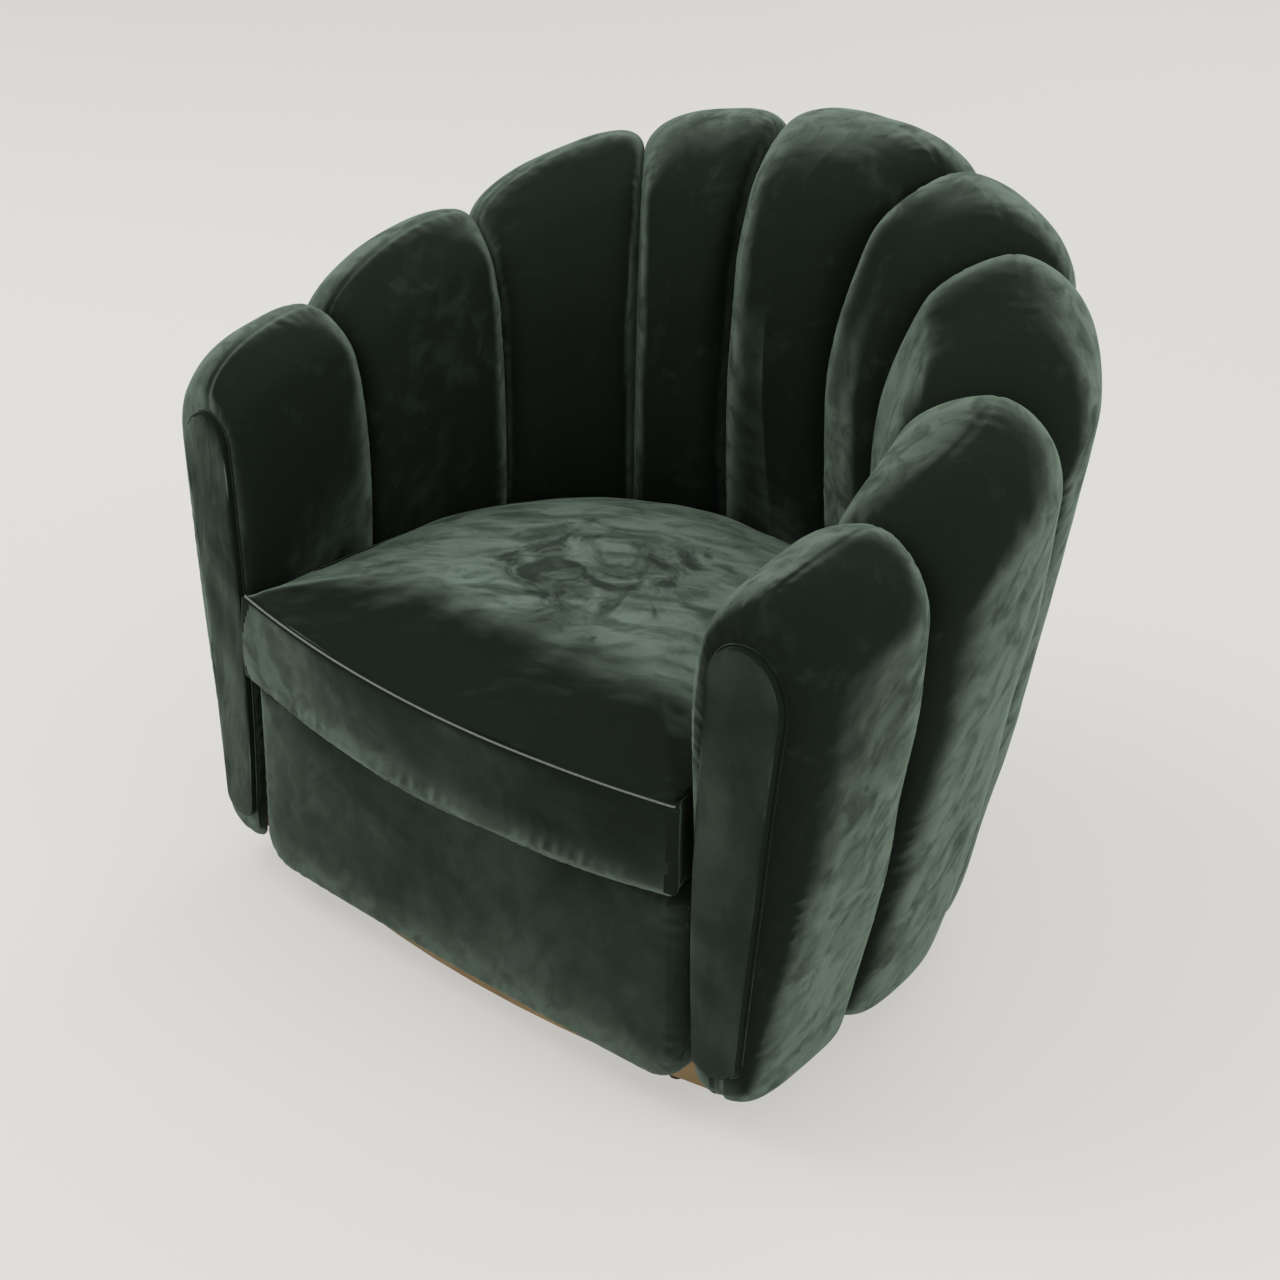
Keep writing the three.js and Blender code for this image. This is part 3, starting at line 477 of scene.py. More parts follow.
# The boxing's velvet: a band of painted sheen along its foot, and some painted sheen laid evenly over it.
velvet_boxing = velvet_material(
    "velvet_boxing", (0.05, 0.02, 0.03), (0, 0, 0.2), 0.4, 0.05, ("Z", 0.272, 0.315, 0.11, 0.0), 0.6, 0.17
)
# The front panel's velvet: a band of painted sheen along its foot, and painted sheen laid mostly evenly
# over it rather than by view.
velvet_front = velvet_material(
    "velvet_front", (0.03, 0.03, 0.05), (0.2, 0.5, 0), 0.3, 0.05, ("Z", 0.035, 0.1, 0.13, 0.0), 0.25, 0.31
)
# The two facings are the same cloth with painted light of their own: the left one's painted sheen follows
# the view, the right one has an even painted sheen laid over it.
velvet_facing = {
    "left": velvet_material(
        "velvet_facing_left", (0.012, 0.012, 0.06), (0, 0.12, 0), 0.5, 0.05, pile=0.7, rest=0.06
    ),
    "right": velvet_material(
        "velvet_facing_right", (0.03, 0.03, 0.08), (0, 0.12, 0), 0.05, 0.0, pile=0.2, rest=0.33
    ),
}
# Painted shade: a darker velvet for the facings' edge walls and the cushion's sides behind its front
# corners.
velvet_painted_shade = velvet_material("velvet_painted_shade", (0.03, 0.03, 0.03), (0, 0, 0), 0.05, 0.0, pile=0.1, rest=0.2)
piping_cord = piping_material()


# The wall's surface

def wall_plan(along):
    reach = np.abs(along)
    back_length = BACK_HALF_ARC * BACK_RADIUS
    turn = np.where(
        reach < back_length,
        reach / BACK_RADIUS,
        BACK_HALF_ARC + (reach - back_length) / ARM_RADIUS,
    )
    back_turn = np.minimum(turn, BACK_HALF_ARC)
    x = BACK_RADIUS * np.sin(back_turn) + ARM_RADIUS * (np.sin(turn) - np.sin(back_turn))
    y = BACK_RADIUS * np.cos(back_turn) + ARM_RADIUS * (np.cos(turn) - np.cos(back_turn))
    side = np.where(np.asarray(along) < 0, -1.0, 1.0)
    return side * x, y + BACK_CENTRE_Y, side * np.sin(turn), np.cos(turn)


def wall_share(along):
    return np.clip(np.abs(along) / WALL_LENGTH, 0, 1)


def wall_lean(along, height):
    share = wall_share(along)
    slope = (
        BACK_SLOPE * (1 - share) * (1 - 2 * share)
        + SIDE_SLOPE * 4 * share * (1 - share)
        + ARM_SLOPE * share * (2 * share - 1)
    )
    curve = lerp(1 / (2 * BACK_FLARE_RADIUS), 1 / (2 * ARM_FLARE_RADIUS), share)
    over = height - LEAN_LEVEL
    return slope * over + curve * over * over


def wall_point(along, out, height):
    x, y, out_x, out_y = wall_plan(along)
    reach = wall_lean(along, height) + out
    return np.stack([x + reach * out_x, y + reach * out_y, height + 0 * reach], axis=-1)


def along_at_y(y):
    """The length along the wall at which an arm's middle line comes to a place."""
    straight = BACK_RADIUS * math.cos(BACK_HALF_ARC)
    turn = math.acos(math.cos(BACK_HALF_ARC) + (y - BACK_CENTRE_Y - straight) / ARM_RADIUS)
    return BACK_HALF_ARC * BACK_RADIUS + ARM_RADIUS * (turn - BACK_HALF_ARC)


def half_thickness(along, height, outside):
    grown = np.sin((math.pi / 2) * np.clip(height / FULL_THICKNESS_HEIGHT, 0, 1))
    base = lerp(FOOT_HALF_THICKNESS, TOP_HALF_THICKNESS, grown)
    base = base + BACK_EXTRA_THICKNESS * (1 - wall_share(along))
    if outside:
        base = base + OUTER_FLARE_THICKNESS * np.clip(height / FACING_HEIGHT, 0, FLARE_LIMIT_SHARE)
    return base


def full_bulge(along, outside):
    share = wall_share(along)
    if outside:
        return lerp(OUTER_BACK_BULGE, OUTER_ARM_BULGE, share)
    return lerp(INNER_BACK_BULGE, INNER_ARM_BULGE, share)


def bulge_rise(height, fill_foot, top, outside):
    """How much of its full bulge a side has at a height above the foot of its stuffing."""
    skew = OUTER_BULGE_SKEW if outside else INNER_BULGE_SKEW
    power = OUTER_BULGE_POWER if outside else INNER_BULGE_POWER
    share = np.clip((height - fill_foot) / (top - fill_foot), 0, 1)
    return np.sin(math.pi * np.clip(share + skew * share * (1 - share), 0, 1)) ** power


def arch_share(across, power=ARCH_POWER):
    return np.maximum(1 - np.abs(across) ** power, 0) ** (1 / power)


def rounded_ends(height, foot, top, top_round):
    top_depth = np.clip((height - (top - top_round)) / top_round, 0, 1)
    foot_depth = np.clip((foot + FOOT_ROUND - height) / FOOT_ROUND, 0, 1)
    return np.sqrt(1 - top_depth**2) * np.sqrt(1 - FOOT_FLAT_SHARE * foot_depth**2)


class Channel:
    """One padded channel between two seams. An open one ends at an arm's facing instead."""

    def __init__(self, name, start, end, start_height, end_height, rise, open_end=False):
        self.name = name
        self.start = start
        self.end = end
        self.start_height = start_height
        self.end_height = end_height
        self.rise = rise
        self.open_end = open_end

    def along(self, across):
        return lerp(self.start, self.end, (across + 1) / 2)

    def top(self, across):
        peak = TOP_PEAK_SHARE if self.start > 0 else 0.0
        seam = lerp(self.start_height, self.end_height, (across + 1) / 2)
        return seam + self.rise * arch_share(across + peak * (1 - across**2), TOP_ARCH_POWER)

    def foot(self, across):
        return FOOT_CLEARANCE + FOOT_ARCH * (1 - arch_share(across))

    def top_round(self, across, outside):
        top = self.top(across)
        share = OUTER_TOP_ROUND_SHARE if outside else INNER_TOP_ROUND_SHARE
        plain = half_thickness(self.along(across), top, outside)
        return np.minimum(share * plain, (top - self.foot(across)) / 2)

    def out(self, across, height, outside, inset=0.0):
        """How far a face stands out from the wall's middle surface."""
        arch = arch_share(across)
        top = self.top(across) - inset
        foot = self.foot(across) + inset
        along = self.along(across)
        seam_share = OUTER_SEAM_SHARE if outside else INNER_SEAM_SHARE
        end_share = lerp(seam_share, 1.0, (across + 1) / 2) if self.open_end else seam_share
        fill_foot = foot if outside else INNER_FILL_FOOT
        swell = full_bulge(along, outside) * arch * bulge_rise(height, fill_foot, top, outside)
        plain = half_thickness(along, height, outside)
        full = plain * (end_share + (1 - end_share) * arch) + swell - inset
        return full * rounded_ends(height, foot, top, self.top_round(across, outside))

    def point(self, across, out, height, shift=0.0):
        along = self.along(across) + shift
        if self.open_end:
            along = along - out * math.tan(FACING_TURN) * np.clip((across + 1) / 2, 0, 1) ** 2
        return wall_point(along, out, height)


NEAR_START = CENTRE_WIDTH / 2
REAR_START = NEAR_START + NEAR_WIDTH
FORE_START = REAR_START + REAR_WIDTH
ARM_START = FORE_START + FORE_WIDTH
ARM_END = ARM_START + ARM_WIDTH - FACING_DEPTH

centre_channel = Channel(
    "centre", -NEAR_START, NEAR_START, CENTRE_SEAM_HEIGHT, CENTRE_SEAM_HEIGHT, CENTRE_RISE
)
side_channels = [
    Channel("near", NEAR_START, REAR_START, CENTRE_SEAM_HEIGHT, NEAR_SEAM_HEIGHT, NEAR_RISE),
    Channel("rear", REAR_START, FORE_START, NEAR_SEAM_HEIGHT, REAR_SEAM_HEIGHT, REAR_RISE),
    Channel("fore", FORE_START, ARM_START, REAR_SEAM_HEIGHT, FORE_SEAM_HEIGHT, FORE_RISE),
    Channel("arm", ARM_START, ARM_END, FORE_SEAM_HEIGHT, FACING_HEIGHT, ARM_RISE, True),
]
arm_channel = side_channels[-1]


# The channels

CHANNEL_COLUMNS = 61 // FINE
FOOT_ROWS = 10
LOWER_ROWS = 44 // FINE
UPPER_ROWS = 88 // FINE
TOP_ROWS = 24
SOLE_ROWS = 4

RIM_SEAM = 0.001  # from the ridge of a channel's rim to the seam along it
RIM_SEAM_DEPTH = 0.0012
RIM_SEAM_WIDTH = 0.0016
PUCKER_HEIGHT = 0.0003
PUCKER_REACH = 0.010
PUCKER_LENGTHS = (0.0155, 0.0235)
PUCKER_FADE_LENGTH = 0.19
FOLD_HEIGHT = 0.0008
FOLD_LENGTH = 0.19
CREASE_HEIGHT = 0.00015
CREASE_LENGTH = 0.06
END_ROUND = 0.0015  # of an arm's front edge, round the recess for its facing
RECESS_INSET = 0.0022


def channel_columns(channel):
    even = np.linspace(-1, 1, CHANNEL_COLUMNS)
    return lerp(even, np.sin(even * math.pi / 2), 0.6)


def side_heights(foot, top, top_round, split):
    """Heights from the foot to the top, with a row of its own at the level split."""
    foot_steps = 1 - np.cos(np.linspace(0, math.pi / 2, FOOT_ROWS, endpoint=False))
    lower_steps = np.linspace(0, 1, LOWER_ROWS)
    upper_steps = np.linspace(0, 1, UPPER_ROWS, endpoint=False)
    top_steps = np.sin(np.linspace(0, math.pi / 2, TOP_ROWS))
    body_foot = (foot + FOOT_ROUND)[:, None]
    body_top = (top - top_round)[:, None]
    return np.concatenate([
        foot[:, None] + FOOT_ROUND * foot_steps,
        lerp(body_foot, split, lower_steps),
        lerp(split, body_top, upper_steps),
        body_top + top_round[:, None] * top_steps,
    ], axis=1)


def outline_distance(along, rise, outline):
    """Distance from each developed point to an outline, and the length along it there."""
    flat = np.stack([along, rise], axis=-1)
    gaps = np.linalg.norm(flat[..., None, :] - outline, axis=-1)
    nearest = gaps.argmin(axis=-1)
    lengths = np.concatenate([[0], np.cumsum(np.linalg.norm(np.diff(outline, axis=0), axis=1))])
    return gaps.min(axis=-1), lengths[nearest]


def puckers(length, seed):
    """Small gathers along a seam: waves of two lengths that come and go."""
    rng = np.random.default_rng(seed)
    first, second, third = rng.uniform(0, 2 * math.pi, 3)
    short, long = PUCKER_LENGTHS
    fade = 0.55 + 0.45 * np.sin(2 * math.pi * length / PUCKER_FADE_LENGTH + third)
    return fade * (np.sin(2 * math.pi * length / short + first)
                   + 0.7 * np.sin(2 * math.pi * length / long + second))


def open_end_columns():
    """(shift, inset) of the rings that round off an arm's front edge and leave a recess for its facing."""
    turns = np.linspace(0, math.pi / 2, 7)[1:]
    rounding = [(END_ROUND * math.sin(turn), END_ROUND * (1 - math.cos(turn))) for turn in turns]
    return rounding + [(END_ROUND, RECESS_INSET), (SEAT_GAP, RECESS_INSET)]


def channel_rings(channel, mirror):
    across = channel_columns(channel)
    shift = np.zeros_like(across)
    inset = np.zeros_like(across)
    if channel.open_end:
        ends = np.array(open_end_columns())
        across = np.concatenate([across, np.ones(len(ends))])
        shift = np.concatenate([shift, ends[:, 0]])
        inset = np.concatenate([inset, ends[:, 1]])
    top = channel.top(across) - inset
    foot = channel.foot(across) + inset
    split = DECK_TOP + SEAT_GAP
    inner_heights = side_heights(foot, top, channel.top_round(across, False), split)
    outer_heights = side_heights(foot, top, channel.top_round(across, True), split)
    wide = across[:, None] + 0 * inner_heights
    outer = channel.out(wide, outer_heights, True, inset[:, None])
    inner = -channel.out(wide, inner_heights, False, inset[:, None])

    # Under the deck the inner half makes room for the frame, but for an arm's nose
    room = inner_heights < split + 1e-9
    room[:, FOOT_ROWS + LOWER_ROWS - 1] = True
    room[:, FOOT_ROWS + LOWER_ROWS:] = False
    if channel.open_end:
        nose = channel.along(across) > channel.end - ARM_NOSE_THICKNESS
        room[nose] = False
    open_inner = np.where(room, STAVE_THICKNESS / 2 + SEAT_GAP, inner)

    sole = np.linspace(0, 1, SOLE_ROWS + 2)[1:-1]
    sole_out = lerp(outer[:, :1], open_inner[:, :1], sole)
    sole_heights = inner_heights[:, :1] + 0 * sole_out
    ring_out = np.concatenate([open_inner, outer[:, ::-1][:, 1:], sole_out], axis=1)
    ring_heights = np.concatenate([inner_heights, outer_heights[:, ::-1][:, 1:], sole_heights], axis=1)
    ring_across = across[:, None] + 0 * ring_heights
    points = channel.point(ring_across, ring_out, ring_heights, shift[:, None])

    # How far each point lies below the ridge, measured over the surface
    rows = inner_heights.shape[1]
    steps = np.linalg.norm(np.diff(points, axis=1), axis=-1)
    inner_fall = np.cumsum(steps[:, :rows - 1][:, ::-1], axis=1)[:, ::-1]
    outer_fall = np.cumsum(steps[:, rows - 1:], axis=1)
    fall = np.concatenate([inner_fall, np.zeros((len(across), 1)), outer_fall], axis=1)
    along = channel.along(across) + shift
    developed = top[:, None] - fall
    side = np.linspace(0, 1, 90)
    outline = np.concatenate([
        np.stack([along[0] + 0 * side, lerp(foot[0], top[0], side)], axis=-1),
        np.stack([along, top], axis=-1),
        np.stack([along[-1] + 0 * side, lerp(top[-1], foot[-1], side)], axis=-1),
    ])
    gap, length = outline_distance(along[:, None] + 0 * developed, developed, outline)

    seed = int(abs(channel.start) * 1000) + (500 if mirror else 0)
    near_top = smooth_step(channel.end_height - 0.12, channel.end_height + 0.03, developed)
    seam = -RIM_SEAM_DEPTH * bell(fall, RIM_SEAM, RIM_SEAM_WIDTH)
    gathers = PUCKER_HEIGHT * puckers(length, seed) * bell(gap, PUCKER_REACH, PUCKER_REACH)
    folds = FOLD_HEIGHT * ripple(points, FOLD_LENGTH, seed + 1)
    folds = folds + CREASE_HEIGHT * ripple(points, CREASE_LENGTH, seed + 2)
    edge_fade = smooth_step(0.002, 0.012, gap + np.where(near_top > 0.5, 0.012, 0))
    covered = np.zeros_like(gap)
    covered[:, :rows] = room
    covered[:, 2 * rows - 1:] = 1
    end_fade = 1 - smooth_step(0, END_ROUND, shift + inset)
    push = (seam + gathers + folds * edge_fade) * (1 - covered) * end_fade[:, None]
    push[:, FOOT_ROWS + LOWER_ROWS] *= 0
    normals = outward_normals(points, points.mean(axis=1, keepdims=True))
    return points + normals * push[..., None]


def mirror_points(points):
    return points * np.array([-1.0, 1.0, 1.0])


def add_channel(channel, side):
    label = "centre" if side is None else f"{side}_{channel.name}"
    points = channel_rings(channel, side == "left")
    if side == "left":
        points = mirror_points(points)
    faces = ring_faces(*points.shape[:2])
    piece = make_piece(f"channel_pad_{label}", points, faces, velvet_wall)
    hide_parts(f"channel_{label}")


def add_channels():
    add_channel(centre_channel, None)
    for channel in side_channels:
        for side in ("right", "left"):
            add_channel(channel, side)


# The arms' facings

FACING_COLUMNS = 18
EDGE_TURN = 0.93  # how far a face's normal turns to the front, at which the painted shade on an edge begins


def facing_loop(depth, inset):
    """The end of an arm at a depth in front of the channel, drawn in by an inset."""
    across = np.ones(1)
    top = arm_channel.top(across) - inset
    foot = arm_channel.foot(across) + inset
    sides = []
    for outside in (False, True):
        heights = side_heights(foot, top, arm_channel.top_round(across, outside), DECK_TOP)[0]
        out = arm_channel.out(np.ones_like(heights), heights, outside, inset)
        out = out if outside else -out
        sides.append(arm_channel.point(np.ones_like(heights), out, heights, depth))
    return sides


def facing_points():
    """Rows across the facing: the wall of the edge, its round, and the face between."""
    turns = np.linspace(0, math.pi / 2, 6)
    layers = [(2 * SEAT_GAP, FACING_EDGE_INSET)]
    layers += [
        (
            FACING_DEPTH - FACING_EDGE_ROUND * (1 - math.sin(turn)),
            FACING_EDGE_INSET + FACING_EDGE_ROUND * (1 - math.cos(turn)),
        )
        for turn in turns
    ]
    loops = [facing_loop(depth, inset) for depth, inset in layers]
    inner_rows = [loop[0] for loop in loops]
    outer_rows = [loop[1] for loop in loops][::-1]
    last_inner, last_outer = loops[-1]
    shares = np.linspace(0, 1, FACING_COLUMNS + 2)[1:-1]
    forward = np.array([math.sin(FACING_TURN), -math.cos(FACING_TURN), 0.0])
    face_rows = []
    for share in shares:
        width = np.linalg.norm(last_outer - last_inner, axis=1)[:, None]
        crown = FACING_CROWN * np.clip(width / 0.05, 0, 1) * math.sqrt(math.sin(math.pi * share))
        face_rows.append(lerp(last_inner, last_outer, share) + crown * forward)
    return np.stack(inner_rows + face_rows + outer_rows)


def add_facing(side):
    points = facing_points()
    gap = np.minimum(np.arange(points.shape[0]), np.arange(points.shape[0])[::-1])
    weight = np.clip((gap - 4) / 6, 0, 1)[:, None]
    seed = 71 if side == "left" else 72
    points[..., 1] -= 0.0007 * ripple(points, 0.07, seed) * weight
    if side == "left":
        points = mirror_points(points)
    layers, rows = points.shape[:2]
    faces = []
    for i in range(layers - 1):
        for j in range(rows - 1):
            faces.append((i * rows + j, i * rows + j + 1, (i + 1) * rows + j + 1, (i + 1) * rows + j))
    last = (layers - 1) * rows
    for j in range(rows - 1):
        faces.append((j, last + j, last + j + 1, j + 1))
    faces.append(tuple(i * rows for i in range(layers)))
    piece = make_piece(f"facing_pad_{side}", points, faces, velvet_facing[side])
    # The facing's edge walls get the painted shade.
    piece.data.materials.append(velvet_painted_shade)
    for polygon in piece.data.polygons:
        polygon.material_index = int(abs(polygon.normal.y) < EDGE_TURN)
    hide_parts(f"arm_facing_{side}", f"facing_board_{side}")


# The seat cushion

SIDE_POINTS = 150 // FINE
FRONT_POINTS = 180 // FINE
CORNER_SMOOTHING = 4


def cushion_reach(along, height):
    share = np.clip((along - arm_channel.start) / ARM_WIDTH, 0, 1)
    turned = (TOP_HALF_THICKNESS + INNER_ARM_BULGE) * math.tan(FACING_TURN) * share**2
    across = 2 * (along - turned - CUSHION_CORNER_GAP - arm_channel.start) / ARM_WIDTH - 1
    arch = np.where(across > 0, arch_share(np.clip(across, 0, 1)), 1.0)
    wall_top = lerp(CENTRE_SEAM_HEIGHT + CENTRE_RISE, FACING_HEIGHT, wall_share(along))
    above = [
        wall_lean(along, level) - half_thickness(along, level, False)
        - full_bulge(along, False) * arch * bulge_rise(level, INNER_FILL_FOOT, wall_top, False)
        for level in (lerp(height, FACING_HEIGHT, share) for share in np.linspace(0, 1, 7))
    ]
    return np.min(above, axis=0) - LIFT_GAP


def cushion_outline(height, inset):
    """The cushion's outline in plan at a height, from the front's middle right round to it again."""
    rise = np.clip((height - CUSHION_FOOT) / CUSHION_HEIGHT, 0, 1)
    end = along_at_y(BACK_CENTRE_Y - CUSHION_FRONT_FORWARD + inset)
    along = end * np.linspace(0, 1, SIDE_POINTS)
    x, y, out_x, out_y = wall_plan(along)
    reach = cushion_reach(along, height) - inset
    side = np.stack([x + reach * out_x, y + reach * out_y], axis=-1)
    corner = side[-1]
    bow = lerp(CUSHION_FOOT_BOW, CUSHION_TOP_BOW, rise)
    across = np.linspace(1, -1, FRONT_POINTS)[1:-1]
    front = np.stack([corner[0] * across, corner[1] - bow * (1 - across**2)], axis=-1)
    left = side[1:][::-1] * np.array([-1.0, 1.0])
    outline = np.concatenate([left, side, front])
    for _ in range(CORNER_SMOOTHING):
        outline = (np.roll(outline, 1, axis=0) + 2 * outline + np.roll(outline, -1, axis=0)) / 4
    return outline


CUSHION_TOP_ROUND = 0.004
CUSHION_FOOT_ROUND = 0.010
CUSHION_SWELL = 0.002
DIMPLE_PLACE = np.array([-0.036, -0.156])
DIMPLE_DEPTH = 0.007
DIMPLE_RADIUS = 0.055
RAY_HEIGHT = 0.0012
GATHER_HEIGHT = 0.0012
FOOT_SEAM_DEPTH = 0.0016


def cushion_profile():
    """(height, inset, share) from the middle of the foot, round the edge, to the middle of the top."""
    rows = []
    for share in np.linspace(0, 1, 14, endpoint=False)[1:]:
        rows.append((CUSHION_FOOT, CUSHION_FOOT_ROUND, share))
    for turn in np.linspace(0, math.pi / 2, 9):
        rows.append((
            CUSHION_FOOT + CUSHION_FOOT_ROUND * (1 - math.cos(turn)),
            CUSHION_FOOT_ROUND * (1 - math.sin(turn)) + CUSHION_SWELL,
            1.0,
        ))
    low = CUSHION_FOOT + CUSHION_FOOT_ROUND
    high = CUSHION_EDGE_HEIGHT - CUSHION_TOP_ROUND
    for share in np.linspace(0, 1, 22)[1:-1]:
        swell = CUSHION_SWELL * (1 - math.sin(math.pi * share) ** 0.8)
        rows.append((lerp(low, high, share), swell, 1.0))
    for turn in np.linspace(0, math.pi / 2, 6):
        rows.append((
            high + CUSHION_TOP_ROUND * math.sin(turn),
            CUSHION_SWELL + CUSHION_TOP_ROUND * (1 - math.cos(turn)),
            1.0,
        ))
    top = np.cos(np.linspace(0, math.pi / 2, 56 // FINE)[1:-1])
    for share in top:
        rows.append((CUSHION_EDGE_HEIGHT, CUSHION_SWELL + CUSHION_TOP_ROUND, share))
    return rows


def cushion_points():
    centre = np.array([0.0, BACK_CENTRE_Y + CROWN_SETBACK])
    rings = []
    rows = cushion_profile()
    top_start = max(i for i, row in enumerate(rows) if row[2] == 1.0)
    for i, (height, inset, share) in enumerate(rows):
        outline = cushion_outline(height, inset)
        flat = centre + (outline - centre) * share
        lift = CUSHION_CROWN * (1 - share**2) ** CROWN_POWER if i > top_start else 0.0
        level = np.full((len(flat), 1), height + lift)
        rings.append(np.concatenate([flat, level], axis=1))
    return np.stack(rings), top_start


def shape_cushion(points, top_start):
    """Gathers at the foot seam, a soft dimple and slow waves in the top."""
    lengths = np.linalg.norm(np.diff(points, axis=1, append=points[:, :1]), axis=-1).cumsum(axis=1)
    height = points[..., 2]
    normals = outward_normals(points, points.mean(axis=(0, 1)))
    foot_seam = bell(height, CUSHION_FOOT + 0.012, 0.010)
    gathers = GATHER_HEIGHT * puckers(lengths, 31) * foot_seam
    seam = -FOOT_SEAM_DEPTH * bell(height, CUSHION_FOOT + 0.006, 0.0022)
    top = np.zeros_like(height)
    top[top_start:] = 1
    off = points[..., :2] - DIMPLE_PLACE
    far = np.linalg.norm(off, axis=-1)
    turn = np.arctan2(off[..., 1], off[..., 0])
    dimple = -DIMPLE_DEPTH * np.exp(-((far / DIMPLE_RADIUS) ** 2))
    rays = RAY_HEIGHT * np.sin(5 * turn + 1.1) * bell(far, DIMPLE_RADIUS, 0.035)
    slow = 0.0012 * ripple(points[..., :2], 0.24, 33) + 0.0003 * ripple(points[..., :2], 0.07, 34)
    push = (gathers + seam) * (1 - top) + (dimple + rays + slow) * top
    sides = 0.0006 * ripple(points, 0.15, 35) * (1 - top)
    fade = np.ones_like(height)
    fade[:12] = 0
    return points + normals * ((push + sides) * fade)[..., None]


def add_cushion():
    points, top_start = cushion_points()
    points = shape_cushion(points, top_start)
    rings, count = points.shape[:2]
    faces = ring_faces(rings, count, caps=False)
    flat = points.reshape(-1, 3)
    foot_middle = np.append(points[0].mean(axis=0)[:2], CUSHION_FOOT)
    top_middle = points[-1].mean(axis=0)
    flat = np.concatenate([flat, [foot_middle, top_middle]])
    foot_index = rings * count
    last = (rings - 1) * count
    for j in range(count):
        k = (j + 1) % count
        faces.append((foot_index, k, j))
        faces.append((foot_index + 1, last + j, last + k))
    piece = make_piece("seat_cushion_pad", flat, faces, velvet_seat, "seat_cushion")
    piece.data.materials.append(velvet_boxing)
    piece.data.materials.append(velvet_painted_shade)
    corner = BACK_CENTRE_Y - CUSHION_FRONT_FORWARD
    for polygon in piece.data.polygons:
        height = polygon.center.z
        if height < CUSHION_EDGE_HEIGHT - CUSHION_TOP_ROUND:
            drawn_in = max(CUSHION_FOOT + CUSHION_FOOT_ROUND + CUSHION_SWELL - height, 0)
            # Sides behind the front corners get the painted shade; the rest of the sides is boxing.
            polygon.material_index = 2 if polygon.center.y > corner + drawn_in else 1
    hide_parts("seat_cushion", "cushion_core")
    edge = points[top_start - 3]
    front = np.arange(2 * SIDE_POINTS - 1, count)
    add_piping(edge[front])


def tube(path, radius, sides):
    """Points round a path, and the faces between them."""
    steps = np.gradient(path, axis=0)
    steps /= np.linalg.norm(steps, axis=1)[:, None]
    up = np.array([0.0, 0.0, 1.0])
    across = np.cross(steps, up)
    across /= np.linalg.norm(across, axis=1)[:, None]
    over = np.cross(across, steps)
    turns = np.linspace(0, 2 * math.pi, sides, endpoint=False)
    rings = (
        path[:, None]
        + radius * np.cos(turns)[None, :, None] * across[:, None]
        + radius * np.sin(turns)[None, :, None] * over[:, None]
    )
    return rings, ring_faces(len(path), sides)


def add_piping(edge):
    outward = edge[:, :2] - np.array([0.0, BACK_CENTRE_Y])
    outward /= np.linalg.norm(outward, axis=1)[:, None]
    path = edge.copy()
    path[:, :2] += outward * PIPING_FORWARD
    path[:, 2] += PIPING_LIFT
    piece = make_piece("cushion_piping_cord", *tube(path, PIPING_RADIUS, 12), piping_cord, "seat_cushion")
    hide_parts("cushion_piping")


# The front panel

PANEL_COLUMNS = 150 // FINE
PANEL_ROWS = 70 // FINE
PANEL_ROUND = 0.015
PANEL_SEAM = 0.011  # from the panel's edge to the seam round it
PANEL_SEAM_DEPTH = 0.0006
PANEL_PUCKER_HEIGHT = 0.0005
PUFF_REACH = 0.11
TOP_OVERLAP = 0.001
PANEL_SIDE_POINTS = 60


def panel_line(x):
    front = BACK_CENTRE_Y - PANEL_FORWARD
    return front - PANEL_BOW * (1 - (x / PANEL_HALF_WIDTH) ** 2)


def corner_height(x, radius):
    depth = np.clip((np.abs(x) - (PANEL_HALF_WIDTH - radius)) / radius, 0, 1)
    return radius * (1 - np.sqrt(1 - depth**2))


def panel_points():
    even = np.linspace(-1, 1, PANEL_COLUMNS)
    across = lerp(even, np.sin(even * math.pi / 2), 0.8)
    x = PANEL_HALF_WIDTH * across
    low = PANEL_LOW.z + corner_height(x, PANEL_CORNER_RADIUS)
    high = PANEL_HIGH.z + TOP_OVERLAP - corner_height(x, PANEL_TOP_CORNER)
    rows = np.linspace(-1, 1, PANEL_ROWS)
    level = (lerp(rows, np.sin(rows * math.pi / 2), 0.6) + 1) / 2
    heights = lerp(low[:, None], high[:, None], level)
    wide = x[:, None] + 0 * heights
    side = np.linspace(0, 1, PANEL_SIDE_POINTS)
    loop_x = np.concatenate([x, x[-1] + 0 * side, x[::-1], x[0] + 0 * side])
    loop_z = np.concatenate([
        low, lerp(low[-1], high[-1], side), high[::-1], lerp(high[0], low[0], side),
    ])
    outline = np.stack([loop_x, loop_z], axis=-1)
    gap, length = outline_distance(wide, heights, outline)
    edge = np.clip(1 - gap / PANEL_ROUND, 0, 1)
    rounded = PANEL_ROUND * (1 - np.sqrt(np.maximum(1 - edge**2, 0)))
    puff = PANEL_PUFF * (1 - np.clip(1 - gap / PUFF_REACH, 0, 1) ** 2.4)
    seam = -PANEL_SEAM_DEPTH * bell(gap, PANEL_SEAM, 0.0014)
    gathers = PANEL_PUCKER_HEIGHT * puckers(length, 57) * bell(gap, PANEL_SEAM, 0.008)
    spots = np.stack([wide, heights], axis=-1)
    slow = 0.0010 * ripple(spots, 0.2, 58) + 0.0002 * ripple(spots, 0.06, 59)
    fade = smooth_step(0.0, 0.03, gap)
    forward = puff - rounded + seam + gathers + slow * fade
    front = np.stack([wide, panel_line(wide) - forward, heights], axis=-1)
    back_y = panel_line(x) + PANEL_DEPTH
    back = np.stack([wide, back_y[:, None] + 0 * wide, heights], axis=-1)
    return front, back


